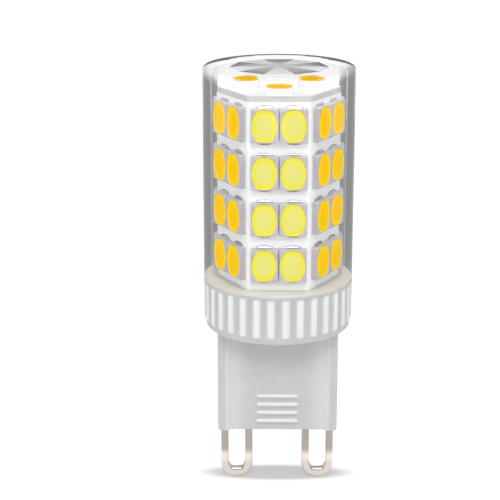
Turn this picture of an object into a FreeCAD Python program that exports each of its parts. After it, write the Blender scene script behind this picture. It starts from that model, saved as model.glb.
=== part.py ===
"""Corn LED bulb with a two-pin base: a clear cover over a hexagonal tube of LED boards, on a fluted base.

Millimetres, +Z up along the bulb's axis, X through both pins, front face towards -Y.
The origin is the middle of the seat face, the bottom of the base block, between the two pins.
"""
import FreeCAD, Part
import math
import os
import re

import Sketcher

Vector = FreeCAD.Vector

# Driving sizes in millimetres, and counts
SIZES = {
    # Pins: two bent loops, each with two legs
    "pin_pitch": 9.0,
    "pin_loop_width": 3.5,
    "pin_leg_width": 0.82,
    "pin_depth": 0.85,
    "pin_drop": 6.9,
    "pin_toe": 1.2,
    "pin_bend_run": 0.4,
    "pin_bend_rise": 0.65,
    "pin_outer_grip": 1.9,
    "pin_inner_grip": 4.3,
    "pin_fit": 0.02,
    # Base block under the collar
    "block_side_wall": 0.25,
    "block_depth": 6.4,
    "block_height": 11.6,
    "block_corner": 0.45,
    "block_floor": 2.2,
    "rail_width": 1.0,
    "rail_slope": 0.55,
    "panel_recess": 0.35,
    # Grip bars on the block's panels
    "bar_length": 4.65,
    "bar_rise": 0.46,
    "bar_proud": 0.3,
    "bar_pitch": 0.96,
    "bar_first": 0.92,
    "bar_count": 4,
    # Fluted collar
    "collar_height": 5.4,
    "collar_floor": 1.2,
    "collar_bevel": 0.25,
    "lip_height": 0.6,
    "rim_height": 0.3,
    "rib_count": 32,
    "rib_relief": 0.22,
    "flute_width": 0.74,
    "well_clearance": 0.08,
    # Clear cover
    "cover_clearance": 0.18,
    "cover_wall": 0.85,
    "cover_top_wall": 0.5,
    "cover_edge_bevel": 0.25,
    "cover_bevel_width": 0.2,
    "cover_bevel_height": 0.35,
    "cover_head_gap": 1.0,
    "spigot_wall": 0.32,
    "spigot_depth": 1.5,
    "spigot_clearance": 0.04,
    "spigot_end_gap": 0.15,
    "facet_count": 10,
    "facet_radius": 5.2,
    "facet_depth": 0.25,
    "facet_tip": 0.08,
    # LED package, and its rows on a side board
    "led_length": 3.43,
    "led_width": 2.85,
    "led_thickness": 0.7,
    "window_width": 2.44,
    "window_height": 3.16,
    "window_flat": 1.4,
    "window_side": 1.5,
    "window_depth": 0.3,
    "phosphor_sink": 0.04,
    "fillet_width": 1.9,
    "fillet_tip": 1.1,
    "fillet_reach": 0.3,
    "fillet_rise": 0.34,
    "column_gap": 0.12,
    "column_count": 2,
    "row_pitch": 4.93,
    "row_count": 4,
    "first_row_margin": 0.95,
    "last_row_margin": 0.72,
    # LED boards
    "board_thickness": 0.8,
    "board_edge_margin": 0.34,
    "board_gap": 0.03,
    "top_board_thickness": 0.66,
    "top_board_clip": 0.18,
    "top_front_margin": 0.064,
    "top_rear_half_gap": 2.075,
    "top_rear_reach": 0.75,
    # Driver board and what it carries
    "driver_thickness": 0.8,
    "driver_clearance": 0.25,
    "driver_foot_gap": 0.1,
    "notch_clearance": 0.06,
    "lead_size": 0.5,
    "chip_width": 4.9,
    "chip_height": 3.0,
    "chip_thickness": 1.3,
    "chip_rise": 5.2,
    "chip_clearance": 0.1,
    "chip_lead_width": 0.4,
    "chip_lead_reach": 0.45,
    "chip_lead_thickness": 0.25,
    "chip_lead_pitch": 1.27,
    "chip_lead_count": 4,
    "bridge_width": 4.0,
    "bridge_height": 4.6,
    "bridge_thickness": 2.4,
    "bridge_rise": 3.8,
    "bridge_lead_width": 0.7,
    "bridge_lead_reach": 0.6,
    "bridge_lead_pitch": 2.5,
    "film_width": 6.6,
    "film_height": 5.4,
    "film_thickness": 2.8,
    "film_corner": 0.9,
    "film_rise": 4.0,
    "resistor_length": 3.1,
    "resistor_width": 1.55,
    "resistor_thickness": 0.6,
    "resistor_rise": 3.7,
    "resistor_spread": 1.5,
    "fuse_length": 5.2,
    "fuse_radius": 0.95,
    "fuse_cap": 0.5,
    "fuse_standoff": 0.1,
    "fuse_reach": 1.1,
    "fuse_gap": 0.15,
    "can_radius": 3.15,
    "can_height": 11.0,
    "can_gap": 1.6,
    "can_headroom": 2.39,
    "can_edge": 0.4,
    "can_crimp": 0.25,
    "can_crimp_level": 1.7,
    "seal_height": 1.2,
    "can_lead_spread": 1.25,
    "board_lead_inset": 0.6,
}

# Sizes and places that follow from the driving sizes
PLACES = {
    "loop_half": "pin_loop_width / 2",
    "pin_centre": "pin_pitch / 2",
    "inner_leg": "pin_centre - loop_half + pin_leg_width / 2",
    "outer_leg": "pin_centre + loop_half - pin_leg_width / 2",
    "block_half": "pin_centre + loop_half + block_side_wall",
    "rail_half": "block_depth / 2",
    "panel_half": "block_depth / 2 - panel_recess",
    "deck": "block_height + collar_height",
    "collar_floor_top": "block_height + collar_floor",
    "face_width": "column_count * led_width + (column_count - 1) * column_gap + 2 * board_edge_margin",
    "apothem": "face_width / 2 / tan(30 deg)",
    "inner_apothem": "apothem - board_thickness",
    "led_face": "apothem + led_thickness",
    "led_corner": "sqrt(pow(led_face; 2) + pow(face_width / 2 - board_edge_margin; 2))",
    "cover_inside": "led_corner + cover_clearance",
    "cover_outside": "cover_inside + cover_wall",
    "spigot_outside": "cover_inside + spigot_wall",
    "rib_valley": "cover_outside - rib_relief",
    "lip_top": "block_height + lip_height",
    "column_pitch": "led_width + column_gap",
    "first_row": "deck + first_row_margin + led_length / 2",
    "side_board_top": "deck + first_row_margin + (row_count - 1) * row_pitch + led_length + last_row_margin",
    "top_board_top": "side_board_top + top_board_thickness",
    "cover_ceiling": "top_board_top + led_thickness + cover_head_gap",
    "cover_top": "cover_ceiling + cover_top_wall",
    "facet_slope": "atan((facet_radius - facet_tip) * cos(180 deg / facet_count) / facet_depth)",
    "top_front_reach": "apothem - top_front_margin - led_length / 2",
    "top_rear_spread": "top_rear_half_gap + led_width / 2",
    "can_top": "side_board_top - can_headroom",
    "can_foot": "can_top - can_height",
    "driver_foot": "block_floor + driver_foot_gap",
    "driver_top": "can_foot - can_gap",
    "driver_face": "driver_thickness / 2",
    "driver_half": "inner_apothem / cos(30 deg) - driver_face * tan(30 deg) - driver_clearance",
    "cavity_half": "driver_half + driver_clearance",
    "cavity_half_depth": "driver_face + chip_thickness + chip_clearance",
    "chip_level": "block_floor + chip_rise",
    "resistor_level": "block_floor + resistor_rise",
    "film_level": "collar_floor_top + film_rise",
    "bridge_level": "collar_floor_top + bridge_rise",
    "bridge_lead_top": "bridge_level + bridge_height / 2 + bridge_lead_reach",
    "fuse_level": "bridge_lead_top + fuse_gap + fuse_radius",
    "fuse_centre": "driver_face + fuse_radius + fuse_standoff",
    "lead_radius": "lead_size / 2",
    "board_lead_spread": "driver_half - board_lead_inset",
}

doc = FreeCAD.newDocument("corn_led_bulb")
sizes = doc.addObject("Spreadsheet::Sheet", "Sizes")
places = doc.addObject("Spreadsheet::Sheet", "Places")


def full(text):
    """The expression with each size's name led by the name of its sheet."""

    def owner(match):
        word = match.group()
        if word in SIZES:
            return "Sizes." + word
        return "Places." + word if word in PLACES else word

    return re.sub(r"[a-z][a-z_]*", owner, text)


def number(text):
    """The value of an expression in the sizes, in millimetres or degrees."""
    value = sizes.evalExpression(full(text))
    return float(getattr(value, "Value", value))


def bind(target, path, text):
    """Tie a property of an object to an expression in the sizes."""
    target.setExpression(path, full(text))


def fill_sheets():
    """Write the driving sizes as plain numbers and the others as formulas, each under its own alias."""
    for row, (name, value) in enumerate(SIZES.items(), start=1):
        sizes.set(f"A{row}", name)
        sizes.set(f"B{row}", str(value))
        sizes.setAlias(f"B{row}", name)
    doc.recompute()
    for row, (name, text) in enumerate(PLACES.items(), start=1):
        places.set(f"A{row}", name)
        places.set(f"B{row}", "=" + full(text).replace("Places.", ""))
        places.setAlias(f"B{row}", name)
    doc.recompute()


def new_body(name):
    """An empty body with its own label."""
    body = doc.addObject("PartDesign::Body", name)
    body.Label = name
    return body


def origin_part(body, role):
    """One of a body's own origin planes or axes, by its role."""
    return next(item for item in body.Origin.OriginFeatures if item.Role == role)


def new_sketch(body, name, role, level="0"):
    """A sketch on one of the body's origin planes, moved along that plane's normal by level."""
    sketch = body.newObject("Sketcher::SketchObject", name)
    sketch.AttachmentSupport = (origin_part(body, role), [""])
    sketch.MapMode = "FlatFace"
    if level != "0":
        bind(sketch, ".AttachmentOffset.Base.z", level)
    return sketch


def fix_point(sketch, geometry, position, x_text, y_text):
    """Hold a point of the sketch at a place given by two expressions."""
    for kind, text, axis in (("DistanceX", x_text, -2), ("DistanceY", y_text, -1)):
        if text == "0":
            sketch.addConstraint(Sketcher.Constraint("PointOnObject", geometry, position, axis))
            continue
        value = number(text)
        index = sketch.addConstraint(Sketcher.Constraint(kind, -1, 1, geometry, position, value))
        bind(sketch, f"Constraints[{index}]", text)


def arc_between(start, end, radius):
    """The shorter arc from start to end that turns to the left."""
    chord = end - start
    middle = (start + end) * 0.5
    left = Vector(-chord.y, chord.x, 0).normalize()
    centre = middle + left * math.sqrt(max(radius**2 - chord.Length**2 / 4, 0))
    first = math.atan2(start.y - centre.y, start.x - centre.x)
    last = math.atan2(end.y - centre.y, end.x - centre.x)
    return Part.ArcOfCircle(Part.Circle(centre, Vector(0, 0, 1), radius), first, last)


def outline(sketch, corners, arcs=None):
    """A closed outline through the corners, anticlockwise. arcs: a radius for the stretch after a corner."""
    arcs = arcs or {}
    first = sketch.GeometryCount
    points = [Vector(number(x), number(y), 0) for x, y in corners]
    for index, start in enumerate(points):
        end = points[(index + 1) % len(points)]
        if index in arcs:
            sketch.addGeometry(arc_between(start, end, number(arcs[index])))
        else:
            sketch.addGeometry(Part.LineSegment(start, end))
    for index, (x_text, y_text) in enumerate(corners):
        geometry = first + index
        following = first + (index + 1) % len(corners)
        sketch.addConstraint(Sketcher.Constraint("Coincident", geometry, 2, following, 1))
        fix_point(sketch, geometry, 1, x_text, y_text)
    for index, radius in arcs.items():
        geometry = first + index
        held = sketch.addConstraint(Sketcher.Constraint("Radius", geometry, number(radius)))
        bind(sketch, f"Constraints[{held}]", radius)


def rectangle(sketch, left, bottom, right, top):
    """A closed rectangle between two corners."""
    outline(sketch, [(left, bottom), (right, bottom), (right, top), (left, top)])


def circle(sketch, x_text, y_text, radius):
    """A full circle at a place given by two expressions."""
    centre = Vector(number(x_text), number(y_text), 0)
    geometry = sketch.addGeometry(Part.Circle(centre, Vector(0, 0, 1), number(radius)))
    held = sketch.addConstraint(Sketcher.Constraint("Radius", geometry, number(radius)))
    bind(sketch, f"Constraints[{held}]", radius)
    fix_point(sketch, geometry, 3, x_text, y_text)


def polar(radial, along, angle):
    """The place that lies radial out at an angle in degrees, and then along at a right angle to it."""
    x_text = f"({radial}) * cos({angle} deg) - ({along}) * sin({angle} deg)"
    y_text = f"({radial}) * sin({angle} deg) + ({along}) * cos({angle} deg)"
    return x_text, y_text


def regular(sketch, radius, count, turn):
    """A regular polygon by the radius of its corners."""
    step = 360 / count
    outline(sketch, [polar(radius, "0", turn + index * step) for index in range(count)])


def add_feature(body, kind, name, sketch, length, **settings):
    """A pad or pocket of a sketch, its length an expression."""
    feature = body.newObject("PartDesign::" + kind, name)
    feature.Profile = sketch
    bind(feature, "Length", length)
    for key, value in settings.items():
        setattr(feature, key, value)
    body.Tip = feature
    return feature


def pad(body, name, sketch, length, **settings):
    """Material added from a sketch along its normal."""
    return add_feature(body, "Pad", name, sketch, length, **settings)


def pocket(body, name, sketch, length, **settings):
    """Material taken away from a sketch against its normal. It has to cut something."""
    doc.recompute()
    before = body.Shape.Volume
    feature = add_feature(body, "Pocket", name, sketch, length, **settings)
    doc.recompute()
    if body.Shape.Volume >= before:
        raise ValueError(f"{body.Label}: {name} cuts nothing")
    return feature


def revolve(body, name, sketch, axis="V_Axis"):
    """A full turn of a sketch about one of its own axes."""
    feature = body.newObject("PartDesign::Revolution", name)
    feature.Profile = sketch
    feature.ReferenceAxis = (sketch, [axis])
    feature.Angle = 360
    body.Tip = feature
    return feature


def turned_copies(body, name, originals, count):
    """Copies of features all the way round the Z axis."""
    doc.recompute()
    pattern = body.newObject("PartDesign::PolarPattern", name)
    pattern.Originals = originals
    pattern.Axis = (origin_part(body, "Z_Axis"), [""])
    pattern.Angle = 360
    bind(pattern, "Occurrences", count)
    body.Tip = pattern
    return pattern


def grid_copies(body, name, originals, ways):
    """Copies of features in rows, along one or two (axis role, pitch, count) ways."""
    doc.recompute()
    pattern = body.newObject("PartDesign::LinearPattern", name)
    pattern.Originals = originals
    for suffix, (role, pitch, count) in zip(("", "2"), ways):
        setattr(pattern, "Direction" + suffix, (origin_part(body, role), [""]))
        setattr(pattern, "Mode" + suffix, "Spacing")
        bind(pattern, "Offset" + suffix, pitch)
        bind(pattern, "Occurrences" + suffix, count)
        # A step of -1 is an even one, of the offset's length
        setattr(pattern, "Spacings" + suffix, [-1.0] * (round(number(count)) - 1))
    body.Tip = pattern
    return pattern


def mirrored(body, name, originals, role):
    """A mirror image of features in one of the body's origin planes."""
    doc.recompute()
    copy = body.newObject("PartDesign::Mirrored", name)
    copy.Originals = originals
    copy.MirrorPlane = (origin_part(body, role), [""])
    body.Tip = copy
    return copy


def turn_to_face(body, angle):
    """Turn a body that was made on the front face round to another face."""
    body.Placement = FreeCAD.Placement(Vector(0, 0, 0), FreeCAD.Rotation(Vector(0, 0, 1), angle))


def make_pin(name, angle):
    """One pin: a loop with a round bottom, a long inner leg and a short outer leg, turned to its side."""
    body = new_body(name)
    sketch = new_sketch(body, name + "_outline", "XZ_Plane")
    inner, outer = "pin_centre - loop_half", "pin_centre + loop_half"
    bend, toe = "loop_half - pin_drop", "pin_toe - pin_drop"
    outline(
        sketch,
        [
            (inner, "pin_inner_grip"),
            (inner, bend),
            ("pin_centre", "-pin_drop"),
            (outer, bend),
            (outer, "pin_outer_grip"),
            (outer + " - pin_leg_width", "pin_outer_grip"),
            (outer + " - pin_leg_width", toe + " + pin_bend_rise"),
            (outer + " - pin_leg_width - pin_bend_run", toe),
            (inner + " + pin_leg_width + pin_bend_run", toe),
            (inner + " + pin_leg_width", toe + " + pin_bend_rise"),
            (inner + " + pin_leg_width", "pin_inner_grip"),
        ],
        {1: "loop_half", 2: "loop_half"},
    )
    pad(body, name + "_strip", sketch, "pin_depth", Midplane=True)
    turn_to_face(body, angle)
    return body


def block_corners():
    """The block's section: proud side rails with round corners, and a recessed panel front and back."""
    rail, slope = "block_half - rail_width", "block_half - rail_width - rail_slope"
    tuck = "block_half - block_corner"
    side = "rail_half - block_corner"
    half = [
        (tuck, "rail_half"),
        (rail, "rail_half"),
        (slope, "panel_half"),
    ]
    front_left = [(f"-({x})", f"-({y})") for x, y in half]
    front_right = [(x, f"-({y})") for x, y in reversed(half)]
    right = [("block_half", f"-({side})"), ("block_half", side)]
    back_left = [(f"-({x})", y) for x, y in reversed(half)]
    left = [("-block_half", side), ("-block_half", f"-({side})")]
    corners = front_left + front_right + right + half + back_left + left
    return corners, {index: "block_corner" for index in (5, 7, 13, 15)}


def make_base_housing():
    """The moulded base: block with rails and grip bars, and a fluted collar with a hexagonal well."""
    body = new_body("base_housing")
    block = new_sketch(body, "block_section", "XY_Plane")
    outline(block, *block_corners())
    pad(body, "block", block, "block_height")

    turned = new_sketch(body, "collar_profile", "XZ_Plane")
    outline(
        turned,
        [
            ("0", "block_height"),
            ("rib_valley - collar_bevel", "block_height"),
            ("rib_valley", "block_height + collar_bevel"),
            ("rib_valley", "lip_top"),
            ("cover_outside", "lip_top + rib_relief"),
            ("cover_outside", "deck"),
            ("0", "deck"),
        ],
    )
    revolve(body, "collar", turned)

    flute = new_sketch(body, "flute_section", "XY_Plane", "deck - rim_height")
    spread = "flute_width / 2 + rib_relief"
    outline(
        flute,
        [
            (f"-({spread})", "-cover_outside - rib_relief"),
            (spread, "-cover_outside - rib_relief"),
            ("flute_width / 2 - rib_relief / 2", "-rib_valley"),
            ("rib_relief / 2 - flute_width / 2", "-rib_valley"),
        ],
    )
    cut = pocket(body, "flute", flute, "deck - rim_height - lip_top")
    turned_copies(body, "flutes", [cut], "rib_count")

    well = new_sketch(body, "well_section", "XY_Plane", "deck")
    regular(well, "(apothem + well_clearance) / cos(30 deg)", 6, 0)
    pocket(body, "well", well, "deck - collar_floor_top")

    cavity = new_sketch(body, "cavity_section", "XY_Plane", "collar_floor_top")
    rectangle(cavity, "-cavity_half", "-cavity_half_depth", "cavity_half", "cavity_half_depth")
    pocket(body, "cavity", cavity, "collar_floor_top - block_floor")

    groove = new_sketch(body, "groove_section", "XY_Plane", "deck")
    circle(groove, "0", "0", "spigot_outside + spigot_clearance")
    circle(groove, "0", "0", "cover_inside - spigot_clearance")
    pocket(body, "cover_groove", groove, "spigot_depth + spigot_end_gap")

    holes = new_sketch(body, "leg_holes_section", "XY_Plane", "block_floor")
    reach = "pin_leg_width / 2 + pin_fit"
    depth = "pin_depth / 2 + pin_fit"
    for middle in ("inner_leg", "outer_leg"):
        rectangle(holes, f"{middle} - ({reach})", f"-({depth})", f"{middle} + {reach}", depth)
        rectangle(holes, f"-{middle} - ({reach})", f"-({depth})", f"-{middle} + {reach}", depth)
    pocket(body, "leg_holes", holes, "2 * block_floor")

    bar = new_sketch(body, "bar_profile", "YZ_Plane")
    outline(
        bar,
        [
            ("-panel_half - bar_proud", "bar_first"),
            ("-panel_half + bar_proud / 2", "bar_first"),
            ("-panel_half + bar_proud / 2", "bar_first + bar_rise"),
            ("-panel_half", "bar_first + bar_rise"),
            ("-panel_half - bar_proud", "bar_first + bar_rise / 3"),
        ],
    )
    front_bar = pad(body, "bar", bar, "bar_length", Midplane=True)
    grid_copies(body, "bars", [front_bar], [("Z_Axis", "bar_pitch", "bar_count")])
    back_bar = new_sketch(body, "back_bar_profile", "YZ_Plane")
    outline(
        back_bar,
        [
            ("panel_half - bar_proud / 2", "bar_first"),
            ("panel_half + bar_proud", "bar_first"),
            ("panel_half + bar_proud", "bar_first + bar_rise / 3"),
            ("panel_half", "bar_first + bar_rise"),
            ("panel_half - bar_proud / 2", "bar_first + bar_rise"),
        ],
    )
    rear_bar = pad(body, "back_bar", back_bar, "bar_length", Midplane=True)
    grid_copies(body, "back_bars", [rear_bar], [("Z_Axis", "bar_pitch", "bar_count")])
    return body


def make_clear_cover():
    """The moulded clear cover: a cup with a thin spigot at its mouth and a faceted ceiling."""
    body = new_body("clear_cover")
    profile = new_sketch(body, "cover_profile", "XZ_Plane")
    outline(
        profile,
        [
            ("cover_inside", "deck - spigot_depth"),
            ("spigot_outside", "deck - spigot_depth"),
            ("spigot_outside", "deck"),
            ("cover_outside", "deck"),
            ("cover_outside", "cover_top - cover_edge_bevel"),
            ("cover_outside - cover_edge_bevel", "cover_top"),
            ("0", "cover_top"),
            ("0", "cover_ceiling"),
            ("cover_inside - cover_bevel_width", "cover_ceiling"),
            ("cover_inside", "cover_ceiling - cover_bevel_height"),
        ],
    )
    revolve(body, "cover_cup", profile)
    count = round(number("facet_count"))
    mouth = new_sketch(body, "facet_mouth", "XY_Plane", "cover_ceiling")
    regular(mouth, "facet_radius", count, 90 - 180 / count)
    facets = pocket(body, "facets", mouth, "facet_depth", Reversed=True)
    bind(facets, "TaperAngle", "-facet_slope")
    return body


def make_side_board(index, angle):
    """One long board of the hexagonal tube, its edges mitred to meet its neighbours."""
    body = new_body(f"side_board_{index}")
    section = new_sketch(body, f"side_board_section_{index}", "XY_Plane", "collar_floor_top")
    outer = "apothem * tan(30 deg) - board_gap / 2"
    inner = "inner_apothem * tan(30 deg) - board_gap / 2"
    outline(
        section,
        [
            (f"-({outer})", "-apothem"),
            (outer, "-apothem"),
            (inner, "-inner_apothem"),
            (f"-({inner})", "-inner_apothem"),
        ],
    )
    pad(body, f"side_board_strip_{index}", section, "side_board_top - collar_floor_top")
    turn_to_face(body, angle)
    return body


def make_top_board():
    """The hexagonal board that closes the tube, its corners clipped."""
    body = new_body("top_board")
    section = new_sketch(body, "top_board_section", "XY_Plane", "side_board_top")
    reach = "face_width / 2 - top_board_clip"
    corners = []
    for face in range(6):
        angle = 60 * face - 90
        corners += [polar("apothem", f"-({reach})", angle), polar("apothem", reach, angle)]
    outline(section, corners)
    pad(body, "top_board_plate", section, "top_board_thickness")
    return body


def window_corners(x_text, y_text):
    """The barrel outline of an LED's window: a straight stretch on each side and four slanting corners."""
    flat, high = "window_flat / 2", "window_height / 2"
    wide, side = "window_width / 2", "window_side / 2"
    return [
        (f"{x_text} - {flat}", f"{y_text} - {high}"),
        (f"{x_text} + {flat}", f"{y_text} - {high}"),
        (f"{x_text} + {wide}", f"{y_text} - {side}"),
        (f"{x_text} + {wide}", f"{y_text} + {side}"),
        (f"{x_text} + {flat}", f"{y_text} + {high}"),
        (f"{x_text} - {flat}", f"{y_text} + {high}"),
        (f"{x_text} - {wide}", f"{y_text} + {side}"),
        (f"{x_text} - {wide}", f"{y_text} - {side}"),
    ]


def fillet_corners(x_text, y_text, side):
    """The outline of the solder at an LED end, narrower at its tip. Side: 1 above the LED, -1 below it."""
    near = f"{y_text} + {side} * led_length / 2"
    far = f"{y_text} + {side} * (led_length / 2 + fillet_reach)"
    wide, tip = f"{side} * fillet_width / 2", f"{side} * fillet_tip / 2"
    return [
        (f"{x_text} + {wide}", near),
        (f"{x_text} + {tip}", far),
        (f"{x_text} - {tip}", far),
        (f"{x_text} - {wide}", near),
    ]


def make_led_housings(name, role, level, spots):
    """Moulded LED packages, each with a window recess, at the given spots on a board's face."""
    body = new_body(name)
    solid = new_sketch(body, name + "_outline", role, level)
    recess = new_sketch(body, name + "_window", role, f"{level} + led_thickness")
    for x_text, y_text in spots:
        wide, long = "led_width / 2", "led_length / 2"
        left, right = f"{x_text} - {wide}", f"{x_text} + {wide}"
        rectangle(solid, left, f"{y_text} - {long}", right, f"{y_text} + {long}")
        outline(recess, window_corners(x_text, y_text))
    block = pad(body, name + "_block", solid, "led_thickness")
    window = pocket(body, name + "_recess", recess, "window_depth")
    return body, [block, window]


def make_phosphors(name, role, level, spots):
    """The phosphor fill of each LED window, a little below the package's rim."""
    body = new_body(name)
    fill = new_sketch(body, name + "_outline", role, f"{level} + led_thickness - window_depth")
    for x_text, y_text in spots:
        outline(fill, window_corners(x_text, y_text))
    return body, [pad(body, name + "_fill", fill, "window_depth - phosphor_sink")]


def make_solder_fillets(name, role, level, spots):
    """The solder at both ends of each LED, against the package's end wall."""
    body = new_body(name)
    bead = new_sketch(body, name + "_outline", role, level)
    for x_text, y_text in spots:
        for side in (1, -1):
            outline(bead, fillet_corners(x_text, y_text, side))
    return body, [pad(body, name + "_bead", bead, "fillet_rise")]


LED_MAKERS = {
    "led_housings": make_led_housings,
    "phosphors": make_phosphors,
    "solder_fillets": make_solder_fillets,
}


def make_side_leds(index, angle):
    """The packages, phosphors and solder of one side board: made at the lower left, then copied in a grid."""
    made = []
    corner = ("-(column_count - 1) * column_pitch / 2", "first_row")
    for kind, maker in LED_MAKERS.items():
        body, features = maker(f"{kind}_{index}", "XZ_Plane", "apothem", [corner])
        across = ("X_Axis", "column_pitch", "column_count")
        upward = ("Z_Axis", "row_pitch", "row_count")
        grid_copies(body, f"{kind}_grid_{index}", features, [across, upward])
        turn_to_face(body, angle)
        made.append(body)
    return made


def make_top_leds():
    """The packages, phosphors and solder of the three LEDs on the top board."""
    spots = [
        ("0", "-top_front_reach"),
        ("-top_rear_spread", "top_rear_reach"),
        ("top_rear_spread", "top_rear_reach"),
    ]
    return [maker(f"top_{kind}", "XY_Plane", "top_board_top", spots)[0] for kind, maker in LED_MAKERS.items()]


def make_driver_board():
    """The upright driver board, notched at its foot for the pins' inner legs."""
    body = new_body("driver_board")
    sketch = new_sketch(body, "driver_outline", "XZ_Plane")
    near = "inner_leg - pin_leg_width / 2 - notch_clearance"
    far = "inner_leg + pin_leg_width / 2 + notch_clearance"
    outline(
        sketch,
        [
            ("-driver_half", "driver_foot"),
            (f"-({far})", "driver_foot"),
            (f"-({far})", "pin_inner_grip"),
            (f"-({near})", "pin_inner_grip"),
            (f"-({near})", "driver_foot"),
            (near, "driver_foot"),
            (near, "pin_inner_grip"),
            (far, "pin_inner_grip"),
            (far, "driver_foot"),
            ("driver_half", "driver_foot"),
            ("driver_half", "driver_top"),
            ("-driver_half", "driver_top"),
        ],
    )
    pad(body, "driver_plate", sketch, "driver_thickness", Midplane=True)
    return body


def make_driver_chip():
    """The driver chip on the front of the driver board, with a row of leads down each side."""
    body = new_body("driver_chip")
    case = new_sketch(body, "chip_outline", "XZ_Plane", "driver_face")
    rectangle(
        case,
        "-chip_width / 2",
        "chip_level - chip_height / 2",
        "chip_width / 2",
        "chip_level + chip_height / 2",
    )
    pad(body, "chip_case", case, "chip_thickness")
    legs = new_sketch(body, "chip_lead_outline", "XZ_Plane", "driver_face")
    left = "-(chip_lead_count - 1) * chip_lead_pitch / 2"
    reach = "chip_height / 2 + chip_lead_reach"
    rectangle(
        legs,
        f"{left} - chip_lead_width / 2",
        f"chip_level - ({reach})",
        f"{left} + chip_lead_width / 2",
        f"chip_level + {reach}",
    )
    lead = pad(body, "chip_lead", legs, "chip_lead_thickness")
    grid_copies(body, "chip_leads", [lead], [("X_Axis", "chip_lead_pitch", "chip_lead_count")])
    return body


def make_bridge_rectifier():
    """The bridge rectifier on the back of the driver board, with two leads at each end."""
    body = new_body("bridge_rectifier")
    case = new_sketch(body, "bridge_outline", "XZ_Plane", "-driver_face - bridge_thickness")
    rectangle(
        case,
        "-bridge_width / 2",
        "bridge_level - bridge_height / 2",
        "bridge_width / 2",
        "bridge_level + bridge_height / 2",
    )
    pad(body, "bridge_case", case, "bridge_thickness")
    legs = new_sketch(body, "bridge_lead_outline", "XZ_Plane", "-driver_face - chip_lead_thickness")
    reach = "bridge_height / 2 + bridge_lead_reach"
    rectangle(
        legs,
        "-bridge_lead_pitch / 2 - bridge_lead_width / 2",
        f"bridge_level - ({reach})",
        "-bridge_lead_pitch / 2 + bridge_lead_width / 2",
        f"bridge_level + {reach}",
    )
    lead = pad(body, "bridge_lead", legs, "chip_lead_thickness")
    mirrored(body, "bridge_leads", [lead], "YZ_Plane")
    return body


def make_film_capacitor():
    """The dipped film capacitor, a rounded slab on the front of the driver board."""
    body = new_body("film_capacitor")
    case = new_sketch(body, "film_outline", "XZ_Plane", "driver_face")
    wide, tuck = "film_width / 2", "(film_width / 2 - film_corner)"
    low, high = "(film_level - film_height / 2)", "(film_level + film_height / 2)"
    outline(
        case,
        [
            (f"-{tuck}", low),
            (tuck, low),
            (wide, f"{low} + film_corner"),
            (wide, f"{high} - film_corner"),
            (tuck, high),
            (f"-{tuck}", high),
            (f"-{wide}", f"{high} - film_corner"),
            (f"-{wide}", f"{low} + film_corner"),
        ],
        {1: "film_corner", 3: "film_corner", 5: "film_corner", 7: "film_corner"},
    )
    pad(body, "film_case", case, "film_thickness")
    return body


def make_chip_resistors():
    """Two flat chip resistors side by side on the back of the driver board."""
    body = new_body("chip_resistors")
    tile = new_sketch(body, "resistor_outline", "XZ_Plane", "-driver_face - resistor_thickness")
    rectangle(
        tile,
        "-resistor_spread - resistor_width / 2",
        "resistor_level - resistor_length / 2",
        "-resistor_spread + resistor_width / 2",
        "resistor_level + resistor_length / 2",
    )
    first = pad(body, "resistor", tile, "resistor_thickness")
    mirrored(body, "resistors", [first], "YZ_Plane")
    return body


def make_fuse_resistor():
    """The fusible resistor behind the driver board, its two square leads bent forward to the board."""
    body = new_body("fuse_resistor")
    case = new_sketch(body, "fuse_profile", "XY_Plane", "fuse_level")
    half = "fuse_length / 2"
    outline(
        case,
        [
            (f"-{half}", "fuse_centre"),
            (half, "fuse_centre"),
            (half, "fuse_centre + fuse_radius - fuse_cap / 2"),
            (f"{half} - fuse_cap", "fuse_centre + fuse_radius"),
            (f"fuse_cap - {half}", "fuse_centre + fuse_radius"),
            (f"-{half}", "fuse_centre + fuse_radius - fuse_cap / 2"),
        ],
    )
    axis = new_sketch(body, "fuse_axis", "XY_Plane", "fuse_level")
    level = number("fuse_centre")
    line = axis.addGeometry(Part.LineSegment(Vector(-1, level, 0), Vector(1, level, 0)))
    fix_point(axis, line, 1, f"-{half}", "fuse_centre")
    fix_point(axis, line, 2, half, "fuse_centre")
    barrel = body.newObject("PartDesign::Revolution", "fuse_barrel")
    barrel.Profile = case
    barrel.ReferenceAxis = (axis, ["Edge1"])
    barrel.Angle = 360
    body.Tip = barrel

    strip = new_sketch(body, "fuse_lead_outline", "XY_Plane", "fuse_level - lead_radius")
    out = f"{half} + fuse_reach"
    outline(
        strip,
        [
            (half, "fuse_centre - lead_radius"),
            (f"{out} - lead_radius", "fuse_centre - lead_radius"),
            (f"{out} - lead_radius", "driver_face"),
            (f"{out} + lead_radius", "driver_face"),
            (f"{out} + lead_radius", "fuse_centre"),
            (out, "fuse_centre + lead_radius"),
            (half, "fuse_centre + lead_radius"),
        ],
    )
    lead = pad(body, "fuse_lead", strip, "lead_size")
    mirrored(body, "fuse_leads", [lead], "YZ_Plane")
    return body


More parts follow.
